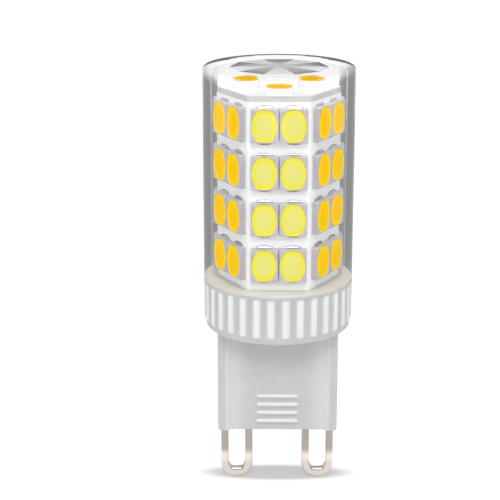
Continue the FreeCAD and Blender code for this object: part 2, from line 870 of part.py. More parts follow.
def make_capacitor():
    """The electrolytic capacitor above the driver board: can, rubber seal and two leads."""
    can = new_body("capacitor_can")
    profile = new_sketch(can, "can_profile", "XZ_Plane")
    waist = "can_foot + can_crimp_level"
    outline(
        profile,
        [
            ("0", "can_foot + seal_height"),
            ("can_radius - can_crimp", "can_foot + seal_height"),
            ("can_radius - can_crimp", "can_foot"),
            ("can_radius", "can_foot"),
            ("can_radius", f"{waist} - can_crimp"),
            ("can_radius - can_crimp / 2", waist),
            ("can_radius", f"{waist} + can_crimp"),
            ("can_radius", "can_top - can_edge"),
            ("can_radius - can_edge", "can_top"),
            ("0", "can_top"),
        ],
    )
    revolve(can, "can_shell", profile)

    seal = new_body("capacitor_seal")
    disc = new_sketch(seal, "seal_outline", "XY_Plane", "can_foot")
    circle(disc, "0", "0", "can_radius - can_crimp")
    for side in ("-", ""):
        circle(disc, side + "can_lead_spread", "0", "lead_radius")
    pad(seal, "seal_disc", disc, "seal_height")

    leads = new_body("capacitor_leads")
    ends = new_sketch(leads, "capacitor_lead_outline", "XY_Plane", "driver_top")
    for side in ("-", ""):
        circle(ends, side + "can_lead_spread", "0", "lead_radius")
    pad(leads, "capacitor_lead", ends, "can_gap + seal_height")
    return [can, seal, leads]


def make_board_leads():
    """Two straight wires from the driver board's top edge to the underside of the top board."""
    body = new_body("board_leads")
    ends = new_sketch(body, "board_lead_outline", "XY_Plane", "driver_top")
    for side in ("-", ""):
        circle(ends, side + "board_lead_spread", "0", "lead_radius")
    pad(body, "board_lead", ends, "side_board_top - driver_top")
    return body


def make_all():
    """Every sub-part, in the order in which the bulb goes together."""
    made = [make_pin("pin_right", 0), make_pin("pin_left", 180), make_base_housing()]
    made += [make_driver_board(), make_driver_chip(), make_bridge_rectifier(), make_film_capacitor()]
    made += [make_chip_resistors(), make_fuse_resistor()] + make_capacitor() + [make_board_leads()]
    for face in range(6):
        made.append(make_side_board(face + 1, 60 * face))
        made += make_side_leds(face + 1, 60 * face)
    made.append(make_top_board())
    made += make_top_leds()
    made.append(make_clear_cover())
    return made


def check_states():
    """Stop if any object failed to compute."""
    for item in doc.Objects:
        if any(state in ("Invalid", "Error") for state in item.State):
            raise ValueError(f"{item.Label} is {item.State}")


def write_parts(made):
    """Write each sub-part's shape to its own file, once all of them are sound."""
    for body in made:
        if body.Shape.isNull() or not body.Shape.isValid() or not body.Shape.Solids:
            raise ValueError(f"{body.Label} has no sound shape")
    os.makedirs("parts", exist_ok=True)
    for body in made:
        body.Shape.exportStep(os.path.join("parts", body.Label + ".step"))
        print(f"{body.Label}: {len(body.Shape.Solids)} solids, {body.Shape.Volume:.3f} mm3")


fill_sheets()
sub_parts = make_all()
doc.recompute()
check_states()
write_parts(sub_parts)
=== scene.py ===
"""The corn LED bulb of a studio photograph: clear cover, tube of LED boards, fluted base and looped pins.

All lengths are metres in the part's own frame. The seat of the base is at z = 0, both pins lie on X and the
front row of LEDs looks towards -Y.
"""
import logging
import math
from collections.abc import Callable, Iterable, Sequence
from dataclasses import dataclass
from enum import Enum, IntEnum

import bmesh
import bpy
from mathutils import Matrix, Vector


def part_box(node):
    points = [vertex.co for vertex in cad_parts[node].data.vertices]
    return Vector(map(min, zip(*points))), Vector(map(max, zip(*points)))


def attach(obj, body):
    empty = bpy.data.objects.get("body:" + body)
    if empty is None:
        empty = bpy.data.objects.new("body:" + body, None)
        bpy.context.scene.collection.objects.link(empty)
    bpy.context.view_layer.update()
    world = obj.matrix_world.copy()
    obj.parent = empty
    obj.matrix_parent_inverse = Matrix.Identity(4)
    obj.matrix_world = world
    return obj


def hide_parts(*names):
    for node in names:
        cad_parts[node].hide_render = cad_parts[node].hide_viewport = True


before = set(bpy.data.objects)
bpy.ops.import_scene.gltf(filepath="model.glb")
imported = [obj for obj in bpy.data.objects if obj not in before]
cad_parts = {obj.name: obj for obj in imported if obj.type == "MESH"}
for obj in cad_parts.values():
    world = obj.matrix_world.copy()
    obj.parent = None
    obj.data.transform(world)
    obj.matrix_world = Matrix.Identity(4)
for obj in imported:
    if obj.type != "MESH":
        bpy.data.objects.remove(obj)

LOG = logging.getLogger("corn_led_bulb")
MM = 0.001
FACES = 6
WHITE = (1.0, 1.0, 1.0, 1.0)

# The least sine or cosine that a distance is divided by.
LEAST = 0.02

Triple = tuple[float, float, float]
Colour = Triple
Point = tuple[float, float]
Range = tuple[float, float]
Values = dict[str | int, object]
Socket = bpy.types.NodeSocket
Paint = Colour | Socket
Ring = Sequence[bmesh.types.BMVert]


class Side(Enum):
    """A side of the part: the axis that it lies on, and its sign there."""

    LEFT = ("x", -1.0)
    RIGHT = ("x", 1.0)
    FRONT = ("y", -1.0)
    BACK = ("y", 1.0)

    @property
    def sign(self) -> float:
        """-1 or 1."""
        return self.value[1]


class Shader:
    """The node tree of a material or of the world, built with short calls."""

    def __init__(self, owner: bpy.types.Material | bpy.types.World) -> None:
        """Start an empty tree.

        Args:
            owner: The material or the world in the making.
        """
        owner.use_nodes = True
        self.owner = owner
        self.tree = owner.node_tree
        self.tree.nodes.clear()
        self.end = self.tree.nodes.new("ShaderNodeOutput" + type(owner).__name__)

    def add(self, kind: str, values: Values | None = None, **settings: object) -> bpy.types.Node:
        """Add a node.

        Args:
            kind: The node's type, without its ShaderNode prefix.
            values: What goes into its input sockets, by name or number: an output to link, or a value to set.
            settings: Values of its own properties.

        Returns:
            The new node.
        """
        node = self.tree.nodes.new("ShaderNode" + kind)
        for key, value in settings.items():
            setattr(node, key, value)
        for key, value in (values or {}).items():
            if isinstance(value, Socket):
                self.tree.links.new(value, node.inputs[key])
            else:
                node.inputs[key].default_value = value
        return node

    def result(self, kind: str, values: Values | None = None, **settings: object) -> Socket:
        """Add a node, as add does, and hand on the first output that it uses."""
        return next(socket for socket in self.add(kind, values, **settings).outputs if socket.enabled)

    def close(self, surface: Socket) -> None:
        """Make a shader the surface of the material or the light of the world."""
        self.tree.links.new(surface, self.end.inputs["Surface"])

    def place(self) -> Socket:
        """The point in the object's own coordinates."""
        return self.add("TexCoord").outputs["Object"]

    def noise(self, size: float, detail: float = 3.0, stretch: Triple = (1.0, 1.0, 1.0)) -> Socket:
        """Add a noise that is fixed to the object.

        Args:
            size: The size of its spots, in metres.
            detail: How many finer layers it has.
            stretch: How much each axis is squeezed.

        Returns:
            The noise's value.
        """
        point = self.result("Mapping", {"Vector": self.place(), "Scale": stretch})
        values = {"Vector": point, "Scale": 1.0 / size, "Detail": detail, "Roughness": 0.55}
        return self.result("TexNoise", values)

    def reach(self, stretch: Triple, shift: float = 0.0) -> Socket:
        """Measure the distance from the object's origin.

        Args:
            stretch: What each axis is multiplied by.
            shift: What is then added to Y.

        Returns:
            The distance.
        """
        values = {"Vector": self.place(), "Location": (0.0, shift, 0.0), "Scale": stretch}
        return self.result("VectorMath", {0: self.result("Mapping", values)}, operation="LENGTH")

    def remap(self, value: Socket, given: Range, wanted: Range = (0.0, 1.0), curve: str = "LINEAR") -> Socket:
        """Stretch one range of a value over another.

        Args:
            value: The value.
            given: The range's two ends.
            wanted: What they become.
            curve: The kind of change between them.

        Returns:
            The stretched value, which stays between the wanted ends.
        """
        ends = {"From Min": given[0], "From Max": given[1], "To Min": wanted[0], "To Max": wanted[1]}
        return self.result("MapRange", {"Value": value, **ends}, interpolation_type=curve)

    def spread(self, noise: Socket, low: float, high: float) -> Socket:
        """Stretch a noise's middle range over two limits."""
        return self.remap(noise, (0.3, 0.7), (low, high))

    def highest(self, value: Socket, *others: Socket) -> Socket:
        """Pick the highest of several values.

        Args:
            value: The first value.
            others: The other values.

        Returns:
            The highest value.
        """
        for other in others:
            value = self.result("Math", {0: value, 1: other}, operation="MAXIMUM")
        return value

    def seen(self) -> Socket:
        """1 for what the camera sees, straight, in gloss or through clear plastic."""
        path = self.add("LightPath").outputs
        return self.highest(path["Is Camera Ray"], path["Is Glossy Ray"], path["Is Transmission Ray"])

    def blend(self, factor: Socket | float, first: Paint, second: Paint, kind: str = "MIX") -> Socket:
        """Mix two colours.

        Args:
            factor: 0 gives the first colour.
            first: The first colour, or an output that holds it.
            second: The second colour, or an output that holds it.
            kind: How the second is laid over the first.

        Returns:
            The mixed colour.
        """
        under, over = (colour if isinstance(colour, Socket) else (*colour, 1.0) for colour in (first, second))
        values = {"Factor": factor, "A": under, "B": over}
        return self.result("Mix", values, data_type="RGBA", blend_type=kind)

    def bump(self, height: Socket, depth: float) -> Socket:
        """Turn a height from 0 to 1 into a surface normal, with the full height in metres."""
        return self.result("Bump", {"Height": height, "Strength": 1.0, "Distance": depth})


@dataclass(frozen=True)
class Finish:
    """A moulded, coated or metal surface with slight changes of colour and gloss.

    Attributes:
        name: The material's name.
        colour: The main colour.
        second: The colour it drifts to.
        rough: The lowest roughness.
        rougher: The highest roughness.
        spot: The size of the colour's spots, in metres.
        grain: The size of the surface's grain, in metres.
        relief: The depth of that grain, in metres.
        metallic: 1 for bare metal.
        coat: The strength of a clear coat.
        glow: The share of light that scatters inside.
        shine: The strength of the plain gloss, 0.5 for most plastics.
        stretch: How much each axis is squeezed, for drawn or brushed surfaces.
        slot: The record's material slot, for new pieces. Not used.
    """

    name: str
    colour: Colour
    second: Colour
    rough: float
    rougher: float
    spot: float = 1.2 * MM
    grain: float = 0.05 * MM
    relief: float = 0.004 * MM
    metallic: float = 0.0
    coat: float = 0.0
    glow: float = 0.0
    shine: float = 0.5
    stretch: Triple = (1.0, 1.0, 1.0)
    slot: str = ""

    def build(self) -> bpy.types.Material:
        """Make the material.

        Returns:
            The material.
        """
        shader = Shader(bpy.data.materials.new(self.name))
        drift = shader.spread(shader.noise(self.spot, 2.0, self.stretch), 0.0, 1.0)
        grain = shader.noise(self.grain, 3.0, self.stretch)
        values = {
            "Base Color": self.tint(shader, drift),
            "Roughness": shader.spread(grain, self.rough, self.rougher),
            "Normal": shader.bump(grain, self.relief),
            "Metallic": self.metallic,
            "Specular IOR Level": self.shine,
            "Coat Weight": self.coat,
            "Coat Roughness": 0.08,
            "Subsurface Weight": self.glow,
            "Subsurface Radius": (1.0, 0.9, 0.8),
            "Subsurface Scale": 0.4 * MM,
        }
        shader.close(shader.result("BsdfPrincipled", values))
        return shader.owner

    def tint(self, shader: Shader, drift: Socket) -> Socket:
        """The surface's colour, by a slow change from 0 to 1."""
        return shader.blend(drift, self.colour, self.second)


@dataclass(frozen=True)
class EdgedFinish(Finish):
    """A surface whose colour changes by a share stored at each point: painted highlight and glint on the base
    and the pins, a change towards the edge on the phosphor fills.

    Attributes:
        rim: The colour at the full share.
        start: The share where the change begins, from 0 to 1.
    """

    rim: Colour = (0.9, 0.75, 0.02)
    start: float = 0.45

    def tint(self, shader: Shader, drift: Socket) -> Socket:
        """The colour, from plain to rim.

        Args:
            shader: The material in the making.
            drift: A slow change from 0 to 1.

        Returns:
            The colour.
        """
        rim_share = shader.add("Attribute", attribute_name="rim").outputs["Fac"]
        share = shader.remap(rim_share, (self.start, 1.0), curve="SMOOTHSTEP")
        return shader.blend(share, super().tint(shader, drift), self.rim)


@dataclass(frozen=True)
class LayeredFinish(Finish):
    """A laminate whose cut edge shows its layers.

    Attributes:
        low: The height of the laminate's lower face.
        high: The height of its upper face.
        core: The colour of the middle layer.
        drift_share: How much the slow change of colour shows.
    """

    low: float = 0.0
    high: float = 1.0
    core: Colour = (0.6, 0.6, 0.58)
    drift_share: float = 0.06

    def tint(self, shader: Shader, drift: Socket) -> Socket:
        """The colour by height: mask at both faces and the core between them.

        Args:
            shader: The material in the making.
            drift: A slow change from 0 to 1.

        Returns:
            The colour.
        """
        height = shader.add("SeparateXYZ", {"Vector": shader.place()}).outputs["Z"]
        ramp = shader.add("ValToRGB", {"Fac": shader.remap(height, (self.low, self.high))})
        mask, core = self.second, self.core
        stops = ((0.0, mask), (0.1, mask), (0.16, core), (0.86, core), (0.94, mask), (1.0, self.colour))
        while len(ramp.color_ramp.elements) < len(stops):
            ramp.color_ramp.elements.new(0.5)
        for element, (spot, colour) in zip(ramp.color_ramp.elements, stops):
            element.position = spot
            element.color = (*colour, 1.0)
        drifted = shader.blend(drift, self.colour, core)
        return shader.blend(self.drift_share, ramp.outputs["Color"], drifted, "MULTIPLY")


@dataclass(frozen=True)
class ClearFinish:
    """Clear moulded plastic that lets light fall through it.

    Attributes:
        name: The material's name.
        index: The refractive index.
        tint: The colour of the light that comes through.
        outer_tint: That colour at the star's outer edge, where the facets take painted shade or painted
            reflection; round the rim, painted shade.
        span: Where the change from one to the other begins and ends, from the axis.
        rough: The greatest roughness that the mould left.
        gloss: The strength of the clear gloss.
        bloom: The strength of the soft light along the outline.
        wave: The size of the moulding's slow waves, in metres.
        swell: The depth of those waves, in metres.
        slot: The record's material slot. Not used.
    """

    name: str
    index: float
    tint: Colour = (1.0, 1.0, 1.0)
    outer_tint: Colour = (1.0, 1.0, 1.0)
    span: Range = (0.6 * MM, 4.8 * MM)
    rough: float = 0.03
    gloss: float = 0.0
    bloom: float = 0.0
    wave: float = 6.0 * MM
    swell: float = 0.01 * MM
    slot: str = ""

    def build(self) -> bpy.types.Material:
        """Make the material, which lets shadows, scattered light and trapped light straight through.

        Returns:
            The material.
        """
        shader = Shader(bpy.data.materials.new(self.name))
        waves = shader.noise(self.wave, 1.0)
        values = {
            "Base Color": (*self.tint, 1.0) if self.outer_tint == self.tint else self.colour(shader),
            "Roughness": shader.spread(waves, 0.0, self.rough),
            "IOR": self.index,
            "Normal": shader.bump(waves, self.swell),
            "Transmission Weight": 1.0,
            "Coat Weight": self.gloss,
            "Coat Roughness": 0.0,
            "Sheen Weight": self.bloom,
            "Sheen Roughness": 0.2,
        }
        path = shader.add("LightPath").outputs
        trapped = shader.result("Math", {0: path["Glossy Depth"], 1: 1.5}, operation="GREATER_THAN")
        leaves = shader.highest(path["Is Shadow Ray"], path["Is Diffuse Ray"], trapped)
        clear = shader.result("BsdfPrincipled", values)
        open_way = shader.result("BsdfTransparent", {"Color": (0.98, 0.98, 0.98, 1.0)})
        shader.close(shader.result("MixShader", {"Fac": leaves, 1: clear, 2: open_way}))
        return shader.owner

    def colour(self, shader: Shader) -> Socket:
        """The tint, from the star's middle to its outer edge, where the facets take painted shade or painted
        reflection.
        """
        share = shader.remap(shader.reach((1.0, 1.0, 0.0)), self.span)
        return shader.blend(share, self.tint, self.outer_tint)


@dataclass(frozen=True)
class RimFinish(ClearFinish):
    """Clear plastic round an edge, with painted shade where its inside would reflect all light.

    Attributes:
        bend: The refractive index that sets where the painted shade falls, as if the edge kept the light
            inside.
    """

    bend: float = 1.49

    def colour(self, shader: Shader) -> Socket:
        """The tint, from where light leaves the edge to painted shade where it can't."""
        return shader.blend(shader.result("Fresnel", {"IOR": self.bend}), self.tint, self.outer_tint)


class Skin:
    """A mesh in the making: closed rings of points with strips of faces between them."""

    def __init__(self) -> None:
        """Start with nothing."""
        self.mesh = bmesh.new()
        self.rim = self.mesh.verts.layers.float.new("rim")

    def ring(self, points: Iterable[Vector], rim: float | Sequence[float] = 0.0) -> Ring:
        """Add a ring of points.

        Args:
            points: The points in order.
            rim: Each point's share of a finish's rim colour, from 0 to 1, or one value for all: painted
                highlight on the base and the pins.

        Returns:
            The ring's vertices.
        """
        made = [self.mesh.verts.new(point) for point in points]
        values = rim if isinstance(rim, Sequence) else [rim] * len(made)
        for vertex, value in zip(made, values):
            vertex[self.rim] = value
        return made

    def strip(self, first: Ring, second: Ring, coat: int = 0) -> None:
        """Join two rings of the same length with four-sided faces.

        Args:
            first: The first ring.
            second: The second ring.
            coat: The number of the finish that the faces take.
        """
        count = len(first)
        for index in range(count):
            after = (index + 1) % count
            face = self.mesh.faces.new((first[index], first[after], second[after], second[index]))
            face.material_index = coat

    def loft(self, rings: Sequence[Ring], coat: int = 0) -> None:
        """Join each ring to the next, with the finish of that number."""
        for first, second in zip(rings, rings[1:]):
            self.strip(first, second, coat)

    def cap(self, ring: Ring) -> None:
        """Close a ring with one flat face."""
        self.mesh.faces.new(ring)

    def solid(self, rings: Sequence[Ring]) -> None:
        """Join each ring to the next and close both ends.

        Args:
            rings: The rings in order, each with as many points as the others.
        """
        self.cap(rings[0])
        self.loft(rings)
        self.cap(rings[-1])

    def cone(self, ring: Ring, tip: Vector, coats: Sequence[int] = (0,)) -> None:
        """Close a ring with triangles to one point.

        Args:
            ring: The ring.
            tip: The point.
            coats: The numbers of the finishes, in turn for equal shares of the ring.
        """
        top = self.ring([tip])[0]
        count = len(ring)
        for index in range(count):
            face = self.mesh.faces.new((ring[index], ring[(index + 1) % count], top))
            face.material_index = coats[index * len(coats) // count]

    def finish(self, name: str, sharp: float = 35.0) -> bpy.types.Object:
        """Turn the mesh into an object.

        Args:
            name: The piece's name.
            sharp: Edges that turn by more than this many degrees stay sharp.

        Returns:
            The new object.
        """
        bmesh.ops.recalc_face_normals(self.mesh, faces=self.mesh.faces)
        data = bpy.data.meshes.new(name)
        self.mesh.to_mesh(data)
        self.mesh.free()
        data.polygons.foreach_set("use_smooth", [True] * len(data.polygons))
        data.set_sharp_from_angle(angle=math.radians(sharp))
        return placed(name, data)


def placed(name: str, data: bpy.types.ID) -> bpy.types.Object:
    """Put a mesh, a camera or a light into the scene.

    Args:
        name: The new object's name.
        data: What it holds.

    Returns:
        The new object.
    """
    made = bpy.data.objects.new(name, data)
    bpy.context.scene.collection.objects.link(made)
    return made


def dress(piece: bpy.types.Object, finishes: Sequence[Finish | ClearFinish], *nodes: str) -> bpy.types.Object:
    """Give a new piece its finishes, and let it ride on the part in the place of CAD nodes.

    Args:
        piece: The new piece.
        finishes: Its finishes, by number.
        nodes: The CAD nodes that it stands for.

    Returns:
        The piece.
    """
    for finish in finishes:
        piece.data.materials.append(finish.build())
    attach(piece, "root")
    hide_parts(*nodes)
    LOG.info("%s: %d faces, for %s", piece.name, len(piece.data.polygons), ", ".join(nodes))
    return piece


def coat(node: str, finish: Finish) -> None:
    """Give a carried-over CAD node its finish.

    Args:
        node: The node's name.
        finish: Its finish.
    """
    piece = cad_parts[node]
    piece.data.materials.clear()
    piece.data.materials.append(finish.build())
    LOG.info("%s: %s", node, finish.name)


def around(count: int, start: float = 0.0) -> list[float]:
    """Even angles round a full turn, in radians."""
    return [start + 2.0 * math.pi * index / count for index in range(count)]


def polar(radius: float, angle: float, height: float) -> Vector:
    """The point at a distance from the axis, an angle about it and a height."""
    return Vector((radius * math.cos(angle), radius * math.sin(angle), height))


def between(first: Point, last: Point, share: float) -> Point:
    """The point at a share of the way from one point to another."""
    return (first[0] + (last[0] - first[0]) * share, first[1] + (last[1] - first[1]) * share)


def arc(centre: Point, radius: float, first: float, last: float, steps: int) -> list[Point]:
    """Points along an arc.

    Args:
        centre: The arc's centre.
        radius: Its radius.
        first: Its first angle in degrees.
        last: Its last angle in degrees.
        steps: The number of stretches.

    Returns:
        The points, both ends among them.
    """
    angles = [math.radians(first + (last - first) * index / steps) for index in range(steps + 1)]
    return [(centre[0] + radius * math.cos(a), centre[1] + radius * math.sin(a)) for a in angles]


def rounded_rectangle(half_wide: float, half_high: float, radius: float, steps: int = 4) -> list[Point]:
    """The outline of a rectangle with round corners, anticlockwise.

    Args:
        half_wide: Half its width.
        half_high: Half its height.
        radius: The corners' radius.
        steps: Stretches in each corner and in each side.

    Returns:
        The outline's points.
    """
    wide, high = half_wide - radius, half_high - radius
    centres = ((wide, high), (-wide, high), (-wide, -high), (wide, -high))
    bends = []
    for turn, centre in enumerate(centres):
        bends.append(arc(centre, radius, 90.0 * turn, 90.0 * turn + 90.0, steps))
    points: list[Point] = []
    for bend, following in zip(bends, bends[1:] + bends[:1]):
        points += bend
        points += [between(bend[-1], following[0], share / steps) for share in range(1, steps)]
    return points


def ease(value: float) -> float:
    """A smooth step from 0 to 1."""
    share = min(max(value, 0.0), 1.0)
    return share * share * (3.0 - 2.0 * share)


def nearest(distances: Iterable[float], sharpness: float) -> float:
    """The least of several distances, with a soft change where two are alike."""
    return sum(distance ** -sharpness for distance in distances) ** (-1.0 / sharpness)


class CoverZone(IntEnum):
    """A zone of the clear cover, by the number of its finish."""

    WALL = 0
    TOP = 1
    # The star's facets take painted shade and painted reflection in turn.
    GREY_FACET = 2
    BRIGHT_FACET = 3
    EDGE = 4


@dataclass
class ClearCover:
    """The clear cup over the LED tube, with a spigot at its mouth and a faceted star in its ceiling, whose
    facets take painted shade and painted reflection in turn.

    Attributes:
        wall: The thickness of its side.
        crown: The thickness of its top.
        edge: The radius of its upper edge.
        edge_steps: The stretches round that edge.
        bevel: The width of the slant in its inner corner.
        bevel_height: The height of that slant.
        lip: The thickness of the spigot.
        lip_depth: How far the spigot reaches below the seam.
        facets: The number of facets in the star.
        star_radius: The radius of the star's corners.
        star_depth: The depth of its middle over its corners.
        star_roof: The thickness of the top over its middle.
        segments: The stretches round the axis, a multiple of the facets.
        crease: Edges that turn by more than this many degrees stay sharp.
    """

    wall: float = 0.85 * MM
    crown: float = 0.5 * MM
    edge: float = 0.4 * MM
    edge_steps: int = 8
    bevel: float = 0.2 * MM
    bevel_height: float = 0.35 * MM
    lip: float = 0.32 * MM
    lip_depth: float = 1.5 * MM
    facets: int = 10
    star_radius: float = 5.2 * MM
    star_depth: float = 0.12 * MM
    star_roof: float = 0.05 * MM
    segments: int = 200
    crease: float = 2.0

    def build(self, finishes: Sequence[ClearFinish]) -> bpy.types.Object:
        """Make the cover in the place of its CAD node.

        Args:
            finishes: The finishes, in the order of CoverZone.

        Returns:
            The cover.
        """
        low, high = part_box("clear_cover")
        outside, top = high.x, high.z
        inside, ceiling, seam = outside - self.wall, top - self.crown, low.z + self.lip_depth
        wall = [(inside, low.z), (inside + self.lip, low.z), (inside + self.lip, seam), (outside, seam)]
        edge = arc((outside - self.edge, top - self.edge), self.edge, 0.0, 90.0, self.edge_steps)
        skin = Skin()
        outer = [skin.ring(self.circle(radius, height)) for radius, height in wall + edge]
        skin.loft(outer[:len(wall) + 1], CoverZone.WALL)
        skin.loft(outer[len(wall):], CoverZone.EDGE)
        disc = skin.ring(self.circle(self.star_radius + self.bevel, top))
        skin.strip(outer[-1], disc, CoverZone.TOP)
        skin.cone(disc, polar(0.0, 0.0, top), (CoverZone.TOP,))
        tip = top - self.star_roof
        mouth, star = (skin.ring(self.star_mouth(height)) for height in (ceiling, tip - self.star_depth))
        slant = ((inside - self.bevel, ceiling), (inside, ceiling - self.bevel_height))
        inner = [skin.ring(self.circle(radius, height)) for radius, height in slant]
        skin.strip(mouth, inner[0], CoverZone.TOP)
        skin.loft([*inner, outer[0]], CoverZone.WALL)
        skin.strip(mouth, star, CoverZone.TOP)
        # The star's facets take painted shade and painted reflection in turn.
        facets = (CoverZone.GREY_FACET, CoverZone.BRIGHT_FACET) * (self.facets // 2)
        skin.cone(star, polar(0.0, 0.0, tip), facets)
        return dress(skin.finish("cover_shell", self.crease), finishes, "clear_cover")

    def circle(self, radius: float, height: float) -> list[Vector]:
        """A circle of points about the axis."""
        return [polar(radius, angle, height) for angle in around(self.segments)]

    def star_mouth(self, height: float) -> list[Vector]:
        """The many-sided mouth of the star, with as many points as the circles.

        Args:
            height: Its height.

        Returns:
            Its points.
        """
        half = math.pi / self.facets
        flat = self.star_radius * math.cos(half)
        return [polar(flat / math.cos(a % (2.0 * half) - half), a, height) for a in around(self.segments)]


@dataclass
class BaseHousing:
    """The moulded base: a block with side rails and grip bars, and a fluted collar, with painted highlights
    on rails, slopes, rib crests and bar tops.

    Attributes:
        block_half: Half the block's width.
        rail_half: Half its depth at the rails.
        panel_half: Half its depth at the panels.
        rail: The width of a rail.
        slope: The width of the slope from rail to panel.
        corner: The radius of the block's upright corners.
        foot: The radius of the round along its foot.
        block_top: The height where the collar begins.
        overlap: How far the block reaches into the collar.
        rail_polish: How much brighter the rails are, from 0 to 1: painted highlight.
        slope_polish: How much brighter the slopes beside them are: painted highlight.
        ribs: The number of ribs round the collar.
        rib_steps: The stretches from rib to rib.
        relief: The depth of the flutes.
        flute_floor: The share of a flute's width that is its floor.
        flute_side: The share of its width that its slanted sides take.
        turn: The radius of the collar's lower edge.
        lip: The height of the smooth lip under the flutes.
        rim: The height of the smooth rim above them.
        run_out: The height over which a flute begins or ends.
        edge: The width of the slant at the deck's edge.
        well: The apothem of the hexagonal well.
        well_floor: The height of the well's floor.
        bars: The number of grip bars on each side.
        bar_half: Half a bar's length.
        bar_first: The height of the lowest bar.
        bar_pitch: The distance from bar to bar.
        bar_rise: A bar's height.
        bar_proud: How far it stands out.
        bar_root: How far it reaches into the panel.
        bar_wedge: Its section: the shares of its reach and its height, and its painted highlight there,
            brightest on the upper slope.
        bar_ends: How it fades out: the share of its half length, and its size there.
        bar_middle: The share of its height that keeps its place as it fades out.
        bar_thin: The share of its height that it never falls below.
        crease: Edges that turn by more than this many degrees stay sharp.
    """

    block_half: float = 6.5 * MM
    rail_half: float = 3.2 * MM
    panel_half: float = 2.85 * MM
    rail: float = 1.0 * MM
    slope: float = 0.55 * MM
    corner: float = 0.45 * MM
    foot: float = 0.16 * MM
    block_top: float = 11.6 * MM
    overlap: float = 0.1 * MM
    rail_polish: float = 0.1
    slope_polish: float = 0.45
    ribs: int = 32
    rib_steps: int = 12
    relief: float = 0.22 * MM
    flute_floor: float = 0.22
    flute_side: float = 0.6
    turn: float = 0.25 * MM
    lip: float = 0.6 * MM
    rim: float = 0.3 * MM
    run_out: float = 0.34 * MM
    edge: float = 0.06 * MM
    well: float = 5.71 * MM
    well_floor: float = 12.8 * MM
    bars: int = 4
    bar_half: float = 2.325 * MM
    bar_first: float = 0.92 * MM
    bar_pitch: float = 0.96 * MM
    bar_rise: float = 0.46 * MM
    bar_proud: float = 0.26 * MM
    bar_root: float = 0.12 * MM
    bar_wedge: tuple[Triple, ...] = (
        (0.0, 0.0, 0.0), (1.0, 0.0, 0.0), (1.0, 0.16, 0.1),
        (0.86, 0.34, 0.6), (0.45, 0.72, 1.0), (0.0, 1.0, 0.8),
    )
    bar_ends: tuple[Point, ...] = ((0.88, 1.0), (0.93, 0.8), (0.975, 0.45), (1.0, 0.08))
    bar_middle: float = 0.3
    bar_thin: float = 0.4
    crease: float = 40.0

    def build(self, finish: Finish, deck: Finish) -> bpy.types.Object:
        """Make the housing in the place of its CAD node.

        Args:
            finish: Its finish.
            deck: The finish of the deck under the cover.

        Returns:
            The housing.
        """
        skin = Skin()
        self.add_block(skin)
        self.add_collar(skin)
        for side in (Side.FRONT, Side.BACK):
            for index in range(self.bars):
                self.add_bar(skin, side, self.bar_first + index * self.bar_pitch)
        return dress(skin.finish("base_moulding", self.crease), [finish, deck], "base_housing")

    def section(self, inset: float) -> list[Point]:
        """The block's outline, drawn in by an inset.

        Args:
            inset: How far it is drawn in.

        Returns:
            The outline's points, anticlockwise.
        """
        wide, deep, panel = (half - inset for half in (self.block_half, self.rail_half, self.panel_half))
        start = self.block_half - self.rail
        stop = start - self.slope
        radius = self.corner - inset
        quarter = [(0.0, panel), (stop * 0.5, panel)]
        for share in (0.0, 0.25, 0.5, 0.75, 1.0):
            quarter.append((stop + self.slope * share, panel + (deep - panel) * ease(share)))
        quarter.append(((start + wide - radius) / 2.0, deep))
        quarter += arc((wide - radius, deep - radius), radius, 90.0, 0.0, 6)
        back = quarter[::-1] + [(-x, y) for x, y in quarter[1:]]
        return back + [(-x, -y) for x, y in back]

    def polish(self, x: float) -> float:
        """The painted highlight on the block at a distance from its middle.

        Args:
            x: The distance.

        Returns:
            The painted highlight, from 0 to 1.
        """
        start = self.block_half - self.rail
        if abs(x) < start - self.slope - 0.01 * MM:
            return 0.0
        return self.rail_polish if abs(x) > start + 0.001 * MM else self.slope_polish

    def add_block(self, skin: Skin) -> None:
        """Add the block with a small round along its foot.

        Args:
            skin: The mesh in the making.
        """
        angles = (0.0, 0.4, 0.8, 1.2, math.pi / 2.0)
        levels = [(self.foot * (1.0 - math.sin(a)), self.foot * (1.0 - math.cos(a))) for a in angles]
        rings = []
        for inset, height in (*levels, (0.0, self.block_top + self.overlap)):
            outline = self.section(inset)
            # Painted highlight on the rails and the slopes beside them.
            shine = [self.polish(x) for x, _ in outline]
            rings.append(skin.ring((Vector((x, y, height)) for x, y in outline), shine))
        skin.solid(rings)

    def flute(self, angle: float) -> float:
        """How deep the flutes are at an angle, from 0 on a rib to 1 in a valley.

        Args:
            angle: The angle from the front.

        Returns:
            The share of the full depth.
        """
        half = math.pi / self.ribs
        across = abs((angle + half) % (2.0 * half) - half) / half
        return 1.0 - ease((across - self.flute_floor) / self.flute_side)

    def add_collar(self, skin: Skin) -> None:
        """Add the fluted collar with its deck and hexagonal well.

        Args:
            skin: The mesh in the making.
        """
        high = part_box("base_housing")[1]
        radius, deck, under = high.x, high.z, self.block_top
        valley = radius - self.relief
        front = math.pi / 2.0
        angles = around(self.ribs * self.rib_steps, -front)
        depths = [self.flute(angle + front) for angle in angles]

        def ring(at: float, height: float, share: float) -> Ring:
            """A ring of the collar, fluted by a share of the full depth, with painted highlight on the rib
            crests.
            """
            points = [polar(at - self.relief * share * d, a, height) for d, a in zip(depths, angles)]
            # Painted highlight: the rib crests take the rim colour, the flutes keep the plain colour.
            return skin.ring(points, [share * (1.0 - depth) for depth in depths])

